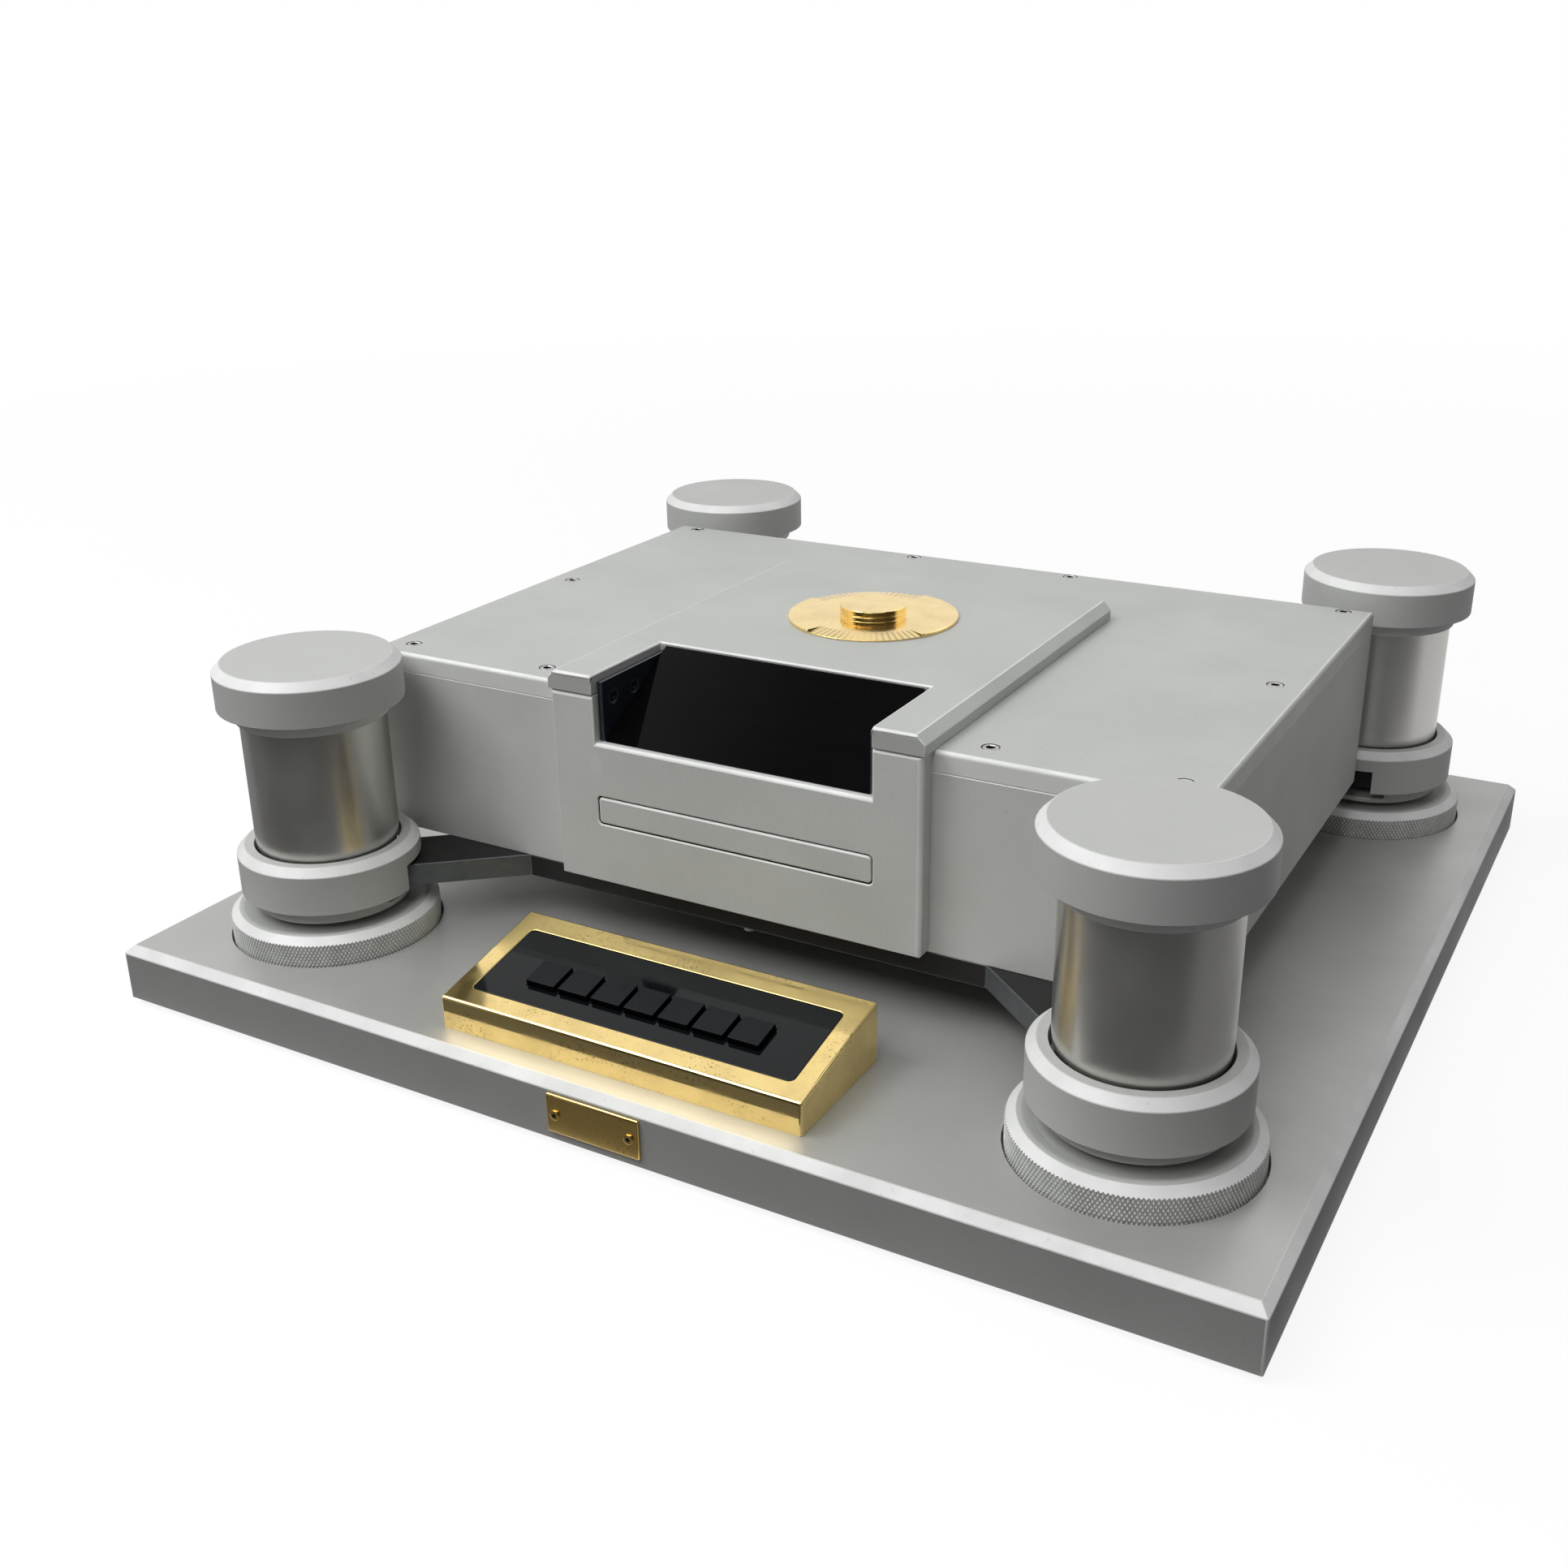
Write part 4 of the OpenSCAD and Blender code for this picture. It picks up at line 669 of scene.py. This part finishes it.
# The tub gets the lighter copy of the chassis aluminium, which is painted light.
softened("chassis_tub", tub_edge, "tub_face", edge_look="bright_edge")
softened("lid", lid_edge, look_of=lid_look, edge_look="bright_edge")
softened("bridge", bridge_edge, look_of=rounding_look, edge_look="bright_edge",
         moved=bridge_moved)


# Fascia, tray door and rear panel

FASCIA_FRONT_Y = -160.0     # behind it lie the rear edges
FASCIA_CORNER_X = 101.0     # outside these lie the upright corners
FASCIA_TOP_Z = 169.0        # above it lie the upper edges
FASCIA_CORNER = 2.2
FASCIA_TOP_EDGE = 1.5
FASCIA_EDGE = 0.7
REAR_EDGE = 0.3
NOTCH_Z = (145.2, 147.2)    # heights between which the lower edge of the hood's notch lies
NOTCH_EDGE = 1.7
DOOR_Z = 110.55             # middle of the tray's slot
DOOR_IN = 0.33              # how far each edge of the door lies inside the CAD model's
DOOR_END_X = 60.0           # outside these lie the door's ends
DOOR_EDGE = 1.0
DOOR_REAR_EDGE = 0.2
SLOT_HALF_W = 77.2
SLOT_HALF_H = 8.0


def fascia_edge(middle, along):
    if middle.y > FASCIA_FRONT_Y:
        return REAR_EDGE
    if upright(along) and abs(middle.x) > FASCIA_CORNER_X:
        return FASCIA_CORNER
    if abs(along.x) > AXIAL and between(middle.z, NOTCH_Z):
        return NOTCH_EDGE
    return FASCIA_TOP_EDGE if middle.z > FASCIA_TOP_Z else FASCIA_EDGE


def slot_look(normal, middle):
    """The walls of the tray slot and the door's own edge lie in shadow."""
    inside = abs(middle.x) < SLOT_HALF_W and abs(middle.z - DOOR_Z) < SLOT_HALF_H
    return "dark_gap" if inside and abs(normal.y) < ACROSS else None


def door_edge(middle, along):
    return DOOR_EDGE if middle.y < FASCIA_FRONT_Y else DOOR_REAR_EDGE


def door_moved(x, y, z):
    """The gap round the door is a little wider than in the CAD model."""
    return (x - math.copysign(DOOR_IN, x) if abs(x) > DOOR_END_X else x, y,
            z - math.copysign(DOOR_IN, z - DOOR_Z))


# The fascia and the door get the same lighter copy, painted light.
softened("fascia", fascia_edge, "tub_face", slot_look, "bright_edge", segments=3)
softened("tray_door", door_edge, "tub_face", slot_look, "bright_edge", moved=door_moved)
softened("rear_panel", REAR_EDGE, edge_look="worn_edge")


# Subframe and hood

STUD_Y = -147.6
STUD_R = 3.5
UNDER_SHADE_HALF_W = 150.0      # half width of the subframe's middle, painted near black as shade
UNDER_SHADE_FRONT_Y = -140.0    # behind it the arms' sides are painted near black as shade too
SUBFRAME_EDGE = 0.5
CHEEK_EDGE = 1.1            # round a cheek's outline
CHEEK_CORNER = 0.5          # across its thickness
DISPLAY_EDGE = 0.4


def subframe_look(normal, middle):
    """Near black as painted shade in the middle and between the arms, with a bare stud under the
    front edge.
    """
    if math.hypot(middle.x, middle.y - STUD_Y) < STUD_R:
        return "turned_aluminium"
    side = middle.y > UNDER_SHADE_FRONT_Y and level(normal)
    return "black_paint" if abs(middle.x) < UNDER_SHADE_HALF_W or side else None


def cheek_edge(middle, along):
    return CHEEK_EDGE if abs(along.x) < ACROSS else CHEEK_CORNER


softened("subframe", SUBFRAME_EDGE, look_of=subframe_look, edge_look="dark_steel")
# The cheeks' rounded edges are painted bluish grey as a painted highlight.
softened("hood_cheeks", cheek_edge, edge_look="hood_edge", segments=3)
softened("display_glass", DISPLAY_EDGE, "hood_glass")


# Levelling rings, with a diamond knurl on the rim

KNURL_COLUMNS = 346
KNURL_ROWS = 9
KNURL_STEP = 1.7        # height between two rows
RIM_Z = 45.0            # upper end of the knurl
CHAMFER_SLOPE = 0.8     # height over width of the chamfer above it
VALLEY_R = RING_R - KNURL_DEPTH

# Radius and height of the rows below the knurl, up the bore and out over the top
RING_PROFILE = ((VALLEY_R, 30.6), (VALLEY_R, 26.1), (16.06, 26.1), (16.06, 47.4),
                (42.2, 47.4), (42.5, 47.46), (46.9, 48.94), (47.2, 49.0), (48.9, 49.0),
                (49.3, 48.9), (49.6, 48.66))


def knurl_row(j):
    """One row of peaks and valleys. In the top row the valleys run out on the chamfer."""

    def spot(c, turn):
        z = RIM_Z - j * KNURL_STEP
        if (c + j) % 2 == 0:
            return RING_R, z
        return VALLEY_R, z + (CHAMFER_SLOPE * KNURL_DEPTH if j == 0 else 0.0)

    return row_of(KNURL_COLUMNS, spot)


def knurled_ring(corner):
    node = "ring_" + corner
    rows = [knurl_row(j) for j in range(KNURL_ROWS)]
    rows += [circle_row(r, z, KNURL_COLUMNS) for r, z in RING_PROFILE]
    chamfer = len(rows) - 1
    # The chamfer above the knurl is painted near white as a painted highlight.
    bm = stacked(rows, True, lambda j: 1 if j == chamfer else 2 if j < KNURL_ROWS else 0,
                 split_rows=KNURL_ROWS - 1)
    finished(node + "_detail", bm, node, ["turned_aluminium", "bright_edge", "knurled_rim"],
             sharp=20.0, at=column_at(corner))


for corner in CORNERS:
    knurled_ring(corner)


# Tubes, one piece each, so that the grain of each runs round its own axis

TUBE_R = 36.8
TUBE_IN_R = 33.8
TUBE_FOOT_Z = 83.0
TUBE_STEPS_Z = (100.0, 130.0, NECK_LOW)
TUBE_SIDES = 128
FOOT_TALL = 9.0         # height over which the lower end draws in
FOOT_IN = 0.6           # how far it draws in
FOOT_STEPS = 8


def tube_profile():
    """The lower end draws in slowly, so that it mirrors more and more of the collar."""
    foot = [(TUBE_R - FOOT_IN * share ** 2, TUBE_FOOT_Z + FOOT_TALL * (1 - share))
            for share in [1 - k / FOOT_STEPS for k in range(FOOT_STEPS + 1)]]
    side = [(TUBE_R, z) for z in TUBE_STEPS_Z]
    return [(TUBE_IN_R, TUBE_FOOT_Z)] + foot + side + [(TUBE_IN_R, NECK_LOW)]


for corner in CORNERS:
    tube = stacked([circle_row(r, z, TUBE_SIDES) for r, z in tube_profile()], True)
    weighted(finished("tube_" + corner, tube, "tubes", ["brushed_tube"],
                      at=column_at(corner)))


# Springs in the columns, each one round wire

COIL_R = 17.0
COIL_LOW = 93.1         # middle of the wire at either end
COIL_HIGH = 144.6
COIL_TURNS = 6.0
COIL_STEPS = 240
WIRE_R = 2.2
WIRE_SIDES = 12


def wire_row(foot, share):
    """The wire's outline, at a share of its way up the spring."""
    turn = COIL_TURNS * math.tau * share
    outward = Vector((math.cos(turn), math.sin(turn), 0))
    rise = (COIL_HIGH - COIL_LOW) / (COIL_TURNS * math.tau * COIL_R)
    ahead = Vector((-math.sin(turn), math.cos(turn), rise)).normalized()
    across = ahead.cross(outward).normalized()
    centre = Vector((*foot, COIL_LOW + (COIL_HIGH - COIL_LOW) * share)) + COIL_R * outward
    return [(centre + WIRE_R * (outward * math.cos(a) + across * math.sin(a))) * MM
            for a in [math.tau * s / WIRE_SIDES for s in range(WIRE_SIDES)]]


def coil(corner):
    """A spring, made at rest; the real one shortens as the chassis sinks."""
    node = "spring_" + corner
    foot = column_at(corner)
    bm = stacked([wire_row(foot, k / COIL_STEPS) for k in range(COIL_STEPS + 1)])
    piece = finished(node + "_detail", bm, node, ["bright_steel"], sharp=45.0)
    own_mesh(piece)


for corner in CORNERS:
    coil(corner)


# Control panel: housing with rounded edges, glass and keys

PANEL_FOOT_Z = 35.0         # below it lie the edges at the foot
PANEL_OUTER_X = 96.5        # outside these lie the outer upper edges
PANEL_FRONT_Y = -268.0
PANEL_REAR_Y = -199.5
PANEL_EDGE = 1.3
PANEL_FOOT_EDGE = 0.2
WINDOW_EDGE = 0.45
GLASS_EDGE = 0.25
KEY_EDGE = 0.3
KEYS = 7


def panel_edge(middle, along):
    """Wide on the outer upper edges, fine round the window, and barely broken at the foot."""
    if middle.z < PANEL_FOOT_Z:
        return PANEL_FOOT_EDGE
    outer = (abs(middle.x) > PANEL_OUTER_X or middle.y < PANEL_FRONT_Y
             or middle.y > PANEL_REAR_Y)
    return PANEL_EDGE if outer else WINDOW_EDGE


def key_look(normal, middle):
    # Key tops are black plastic; their sides are painted near black as shade.
    return "black_key" if normal.z > AXIAL else "key_side"


softened("panel_housing", panel_edge, segments=3)
softened("panel_glass", GLASS_EDGE)
for k in range(KEYS):
    softened("key_" + str(k + 1), KEY_EDGE, "black_key", key_look)


# Nameplate, which is left bare, and the screws

SCREW_SIDES = 48

# Radius and height of a socket screw's rows, from the bottom of its hexagon over the head to
# the end of the thread. Heights are over the lid's top and over the nameplate's front.
LID_SOCKET = ((2.322, -1.56), (2.322, -0.2), (2.472, -0.05))
LID_HEAD = ((3.3, -0.05), (3.65, -0.12), (3.84, -0.28), (3.9, -0.5), (3.6, -0.7),
            (2.15, -2.6), (2.15, -18.0))
PLATE_SOCKET = ((1.25, 0.35), (1.25, 0.92))
PLATE_HEAD = ((1.55, 1.0), (2.2, 1.0), (2.42, 0.9), (2.5, 0.7), (2.5, 0.0), (1.25, 0.0),
              (1.25, -5.0))
PLATE_FRONT = -286.6
PLATE_MIDDLE_Z = 18.6
PLATE_SCREWS_X = (-20.0, 20.0)
PLATE_FACE_Y = -285.5       # in front of it lie the nameplate's front edges
PLATE_EDGE = 0.8
PLATE_REAR_EDGE = 0.1
CHEEK_SCREW_EDGE = 0.2


def screw(name, number, socket, head, look, top=0.0, at=(0.0, 0.0), turned=None):
    """A screw with a rounded rim and a socket painted near black as shade, one of the CAD node of
    its kind.
    """
    rows = [hexagon_row(r, top + z, SCREW_SIDES) for r, z in socket]
    rows += [circle_row(r, top + z, SCREW_SIDES) for r, z in head]
    bm = stacked(rows, look_of=lambda j: 1 if j == 0 else 0)
    if turned:
        bm.transform(turned)
    weighted(finished(name + "_" + str(number), bm, name + "s", [look, "dark_gap"], at=at))


def plate_edge(middle, along):
    return PLATE_EDGE if middle.y < PLATE_FACE_Y else PLATE_REAR_EDGE


softened("nameplate", plate_edge, "aged_gold")
softened("cheek_screws", CHEEK_SCREW_EDGE, "black_screw")
for k, x in enumerate(PLATE_SCREWS_X):
    outward = (Matrix.Translation(Vector((x, PLATE_FRONT, PLATE_MIDDLE_Z)) * MM)
               @ Matrix.Rotation(math.radians(90), 4, "X"))
    screw("nameplate_screw", k + 1, PLATE_SOCKET, PLATE_HEAD, "aged_gold", turned=outward)
for k, spot in enumerate(LID_SCREWS):
    screw("lid_screw", k + 1, LID_SOCKET, LID_HEAD, "bright_steel", top=LID_TOP, at=spot)


# Medallion

HUB_R = 17.8
HUB_TOP_R = 17.5                    # upper end of the broken edge
HUB_TOP_Z = 188.6
HUB_CAD_TOP_R = 16.8
HUB_GROOVE_R = 17.4
HUB_CAD_GROOVE_R = 17.0
HUB_GROOVE_Z = (184.0, 187.0)       # heights between which the groove lies
HUB_EDGE_Z = 188.4                  # above it lies the upper end of the broken edge
HUB_FACES_R = 18.2                  # within it lie the hub's faces
SCOOP_ENDS_R = (34.0, 45.0)         # radii between which the scoops' end walls lie
SCOOP_FLOOR_R = 36.0                # outside it lie the scoops' floors
SCOOP_FLOOR_RISE = (0.9, 0.998)     # upward part of their normals
MEDALLION_EDGE = 0.12


def medallion_look(normal, middle):
    """Polished hub, ribs in the scoops' floors, and the scoops' end walls painted near black as
    shade.
    """
    away = math.hypot(middle.x, middle.y - MEDALLION_Y)
    outward = (normal.x * middle.x + normal.y * (middle.y - MEDALLION_Y)) / max(away, 1.0)
    if away < HUB_FACES_R and level(normal):
        return "gold"
    if between(away, SCOOP_ENDS_R) and level(normal) and abs(outward) < ACROSS:
        return "dark_gap"
    scooped = away > SCOOP_FLOOR_R and between(normal.z, SCOOP_FLOOR_RISE)
    return "ribbed_gold" if scooped else None


def hub_moved(x, y, z):
    """The hub's groove is shallower and its upper edge is crisper than in the CAD model."""
    away = math.hypot(x, y - MEDALLION_Y)
    reach = away
    if abs(away - HUB_CAD_GROOVE_R) < CLOSE and between(z, HUB_GROOVE_Z):
        reach = HUB_GROOVE_R
    elif abs(away - HUB_CAD_TOP_R) < CLOSE and z > HUB_EDGE_Z:
        reach = HUB_TOP_R
    elif abs(away - HUB_R) < CLOSE and HUB_GROOVE_Z[1] < z < HUB_EDGE_Z:
        z = HUB_TOP_Z - (HUB_R - HUB_TOP_R)
    share = reach / away if away > 1 else 1.0
    return (x * share, MEDALLION_Y + (y - MEDALLION_Y) * share, z)


softened("medallion", MEDALLION_EDGE, "satin_gold", medallion_look, "satin_gold",
         moved=hub_moved)


# Studio: floor, world, lamps and camera. Levels are shares of white.

WHITE = 1.0
FLOOR_TONE = 0.13               # share of the lamps' light that the floor gives back
FRONT_TONE = 0.05               # the same in front of the object
GLOW_LEVEL = (0.88, 0.97)       # what the camera sees of the floor, near and far away
SIDE_LEVEL = 0.10               # what metal sees of the floor beside the object's front half
BACK_LEVEL = 0.62               # the same beside its rear half
FRONT_LEVEL = 0.04              # what metal sees in front of the object, as far as the walls
FRONT_X, FRONT_Y = 0.57, -0.82  # direction of the dark part of the walls
FRONT_TURN = (0.05, 0.35)       # cosines of the turn away from it where that part sets in
WALL_LEVEL = 0.95               # what metal sees of the rest of the walls
CEILING_LEVEL = 0.18            # share of it that is left straight overhead
CEILING_RISE = (0.79, 0.88)     # upward part of a direction where the ceiling sets in
SOFT_LEVEL = (0.27, 0.13)       # soft light on the object, from its left and from its right
SOFT_X = (-0.1, 0.9)            # part to the right of the directions where it changes

# Places on the floor between which its tone changes, in metres
GLOW_AWAY = (0.5, 3.0)
PAPER_Y = (-0.36, -0.28)
MIRRORED_Y = (-0.30, -0.29)
BESIDE_X = (0.30, 0.32)
REAR_Y = (0.0, 0.2)


def mirrored_ray(tree, path):
    """1 where metal or glass looks, and 0 elsewhere."""
    return times(tree, path["Is Glossy Ray"], path["Is Transmission Ray"], "MAXIMUM")


def floor_material():
    """Matt paper that the camera sees as white, and metal as a room with dark parts."""
    made = bpy.data.materials.new("studio_floor")
    made.use_nodes = True
    tree = made.node_tree
    tree.nodes.clear()
    path = add(tree, "ShaderNodeLightPath").outputs
    spot = parts_of(tree, coordinates(tree))
    away = length_of(tree, coordinates(tree))
    before = spread(tree, spot["Y"], *PAPER_Y, 1.0, 0.0)
    ahead = spread(tree, spot["Y"], *MIRRORED_Y, FRONT_LEVEL, WHITE)
    beside = spread(tree, size_of(tree, spot["X"]), *BESIDE_X)
    dark = spread(tree, spot["Y"], *REAR_Y, WHITE - SIDE_LEVEL, WHITE - BACK_LEVEL)
    beside = times(tree, WHITE, times(tree, beside, dark), "SUBTRACT")
    mirrored = times(tree, ahead, beside, "MINIMUM")
    seen = times(tree, mirrored_ray(tree, path), mirrored)
    seen = times(tree, seen, path["Is Camera Ray"], "MAXIMUM")
    paper = spread(tree, noise(tree, place(tree), 4.0, 3.0), 0.0, 1.0, 0.98, 1.02)
    tone = times(tree, paper, spread(tree, before, 0.0, 1.0, FLOOR_TONE, FRONT_TONE))
    matt = add(tree, "ShaderNodeBsdfDiffuse", {"Color": tone})
    bright = spread(tree, away, *GLOW_AWAY, *GLOW_LEVEL)
    bright = times(tree, bright, times(tree, before, FLOOR_TONE - FRONT_TONE), "ADD")
    glow = add(tree, "ShaderNodeEmission", {"Strength": times(tree, seen, bright)})
    both = add(tree, "ShaderNodeAddShader", {0: matt.outputs[0], 1: glow.outputs[0]})
    add(tree, "ShaderNodeOutputMaterial", {"Surface": both.outputs[0]})
    return made


def front_zone(tree, x, y):
    """1 in front of the object and to its right, and 0 behind it and at its left."""
    flat = add(tree, "ShaderNodeCombineXYZ", {"X": x, "Y": y}).outputs[0]
    away = times(tree, length_of(tree, flat), 0.001, "MAXIMUM")
    ahead = times(tree, times(tree, x, FRONT_X), times(tree, y, FRONT_Y), "ADD")
    return spread(tree, times(tree, ahead, away, "DIVIDE"), *FRONT_TURN)


def studio_world():
    """Soft light from all round, white for the camera, and a room with a dark part for metal."""
    world = bpy.data.worlds.new("studio")
    world.use_nodes = True
    tree = world.node_tree
    tree.nodes.clear()
    path = add(tree, "ShaderNodeLightPath").outputs
    direction = parts_of(tree, coordinates(tree, "Generated"))
    zone = front_zone(tree, direction["X"], direction["Y"])
    walls = spread(tree, zone, 0.0, 1.0, WALL_LEVEL, FRONT_LEVEL)
    ceiling = spread(tree, direction["Z"], *CEILING_RISE)
    room = times(tree, walls, spread(tree, ceiling, 0.0, 1.0, 1.0, CEILING_LEVEL))
    mirror = mirrored_ray(tree, path)
    soft = spread(tree, direction["X"], *SOFT_X, *SOFT_LEVEL)
    soft = times(tree, soft, spread(tree, mirror, 0.0, 1.0, 1.0, 0.0))
    bright = times(tree, times(tree, room, mirror), soft, "ADD")
    bright = times(tree, bright, path["Is Camera Ray"], "MAXIMUM")
    sky = add(tree, "ShaderNodeBackground", {"Color": (1.0, 1.0, 1.0, 1.0), "Strength": bright})
    add(tree, "ShaderNodeOutputWorld", {"Surface": sky.outputs[0]})
    return world


def softbox(name, at, size, power, aim=(0.0, 0.0, 0.08), tint=(1.0, 1.0, 1.0)):
    """A rectangular lamp. Places and sizes are metres."""
    data = bpy.data.lights.new(name, "AREA")
    data.shape = "RECTANGLE"
    data.size, data.size_y = size
    data.energy = power
    data.color = tint
    lamp = bpy.data.objects.new(name, data)
    lamp.location = at
    lamp.rotation_euler = (Vector(aim) - Vector(at)).to_track_quat("-Z", "Y").to_euler()
    lamp.visible_camera = False
    SCENE.collection.objects.link(lamp)


bpy.ops.mesh.primitive_plane_add(size=30.0, location=(0, 0, 0))
floor = bpy.context.object
floor.name = "studio_floor"
floor.data.materials.append(floor_material())
SCENE.world = studio_world()

softbox("key_softbox", (-0.95, -0.95, 1.75), (1.1, 1.1), 22.0)
softbox("top_softbox", (0.20, -0.15, 2.2), (1.4, 1.4), 8.0)
softbox("front_softbox", (0.10, -1.5, 1.7), (0.9, 0.9), 11.0)
softbox("rear_softbox", (0.5, 1.5, 1.5), (1.6, 0.8), 2.2, tint=(1.0, 0.98, 0.94))
softbox("gold_bounce", (0.0, -0.2712, 0.044), (0.19, 0.01), 0.015, aim=(0.0, -0.29, 0.034),
        tint=(1.0, 0.84, 0.52))

# Solved from the photograph: place in metres, axes and focal length
CAMERA_AT = Vector((0.403006, -0.806318, 0.447258))
CAMERA_RIGHT = Vector((0.86787592, 0.4965709, -0.01444727))
CAMERA_DOWN = Vector((0.17588175, -0.33433338, -0.92589783))
CAMERA_LENS = 39.5655
CAMERA_SENSOR = 36.0

camera_data = bpy.data.cameras.new("camera")
camera_data.lens = CAMERA_LENS
camera_data.sensor_width = CAMERA_SENSOR
camera_data.clip_start = 0.01
camera = bpy.data.objects.new("camera", camera_data)
up = -CAMERA_DOWN.normalized()
right = CAMERA_RIGHT.normalized()
axes = Matrix((right, up, right.cross(up))).transposed().to_4x4()
camera.matrix_world = Matrix.Translation(CAMERA_AT) @ axes
SCENE.collection.objects.link(camera)
SCENE.camera = camera
SCENE.view_settings.view_transform = "Standard"
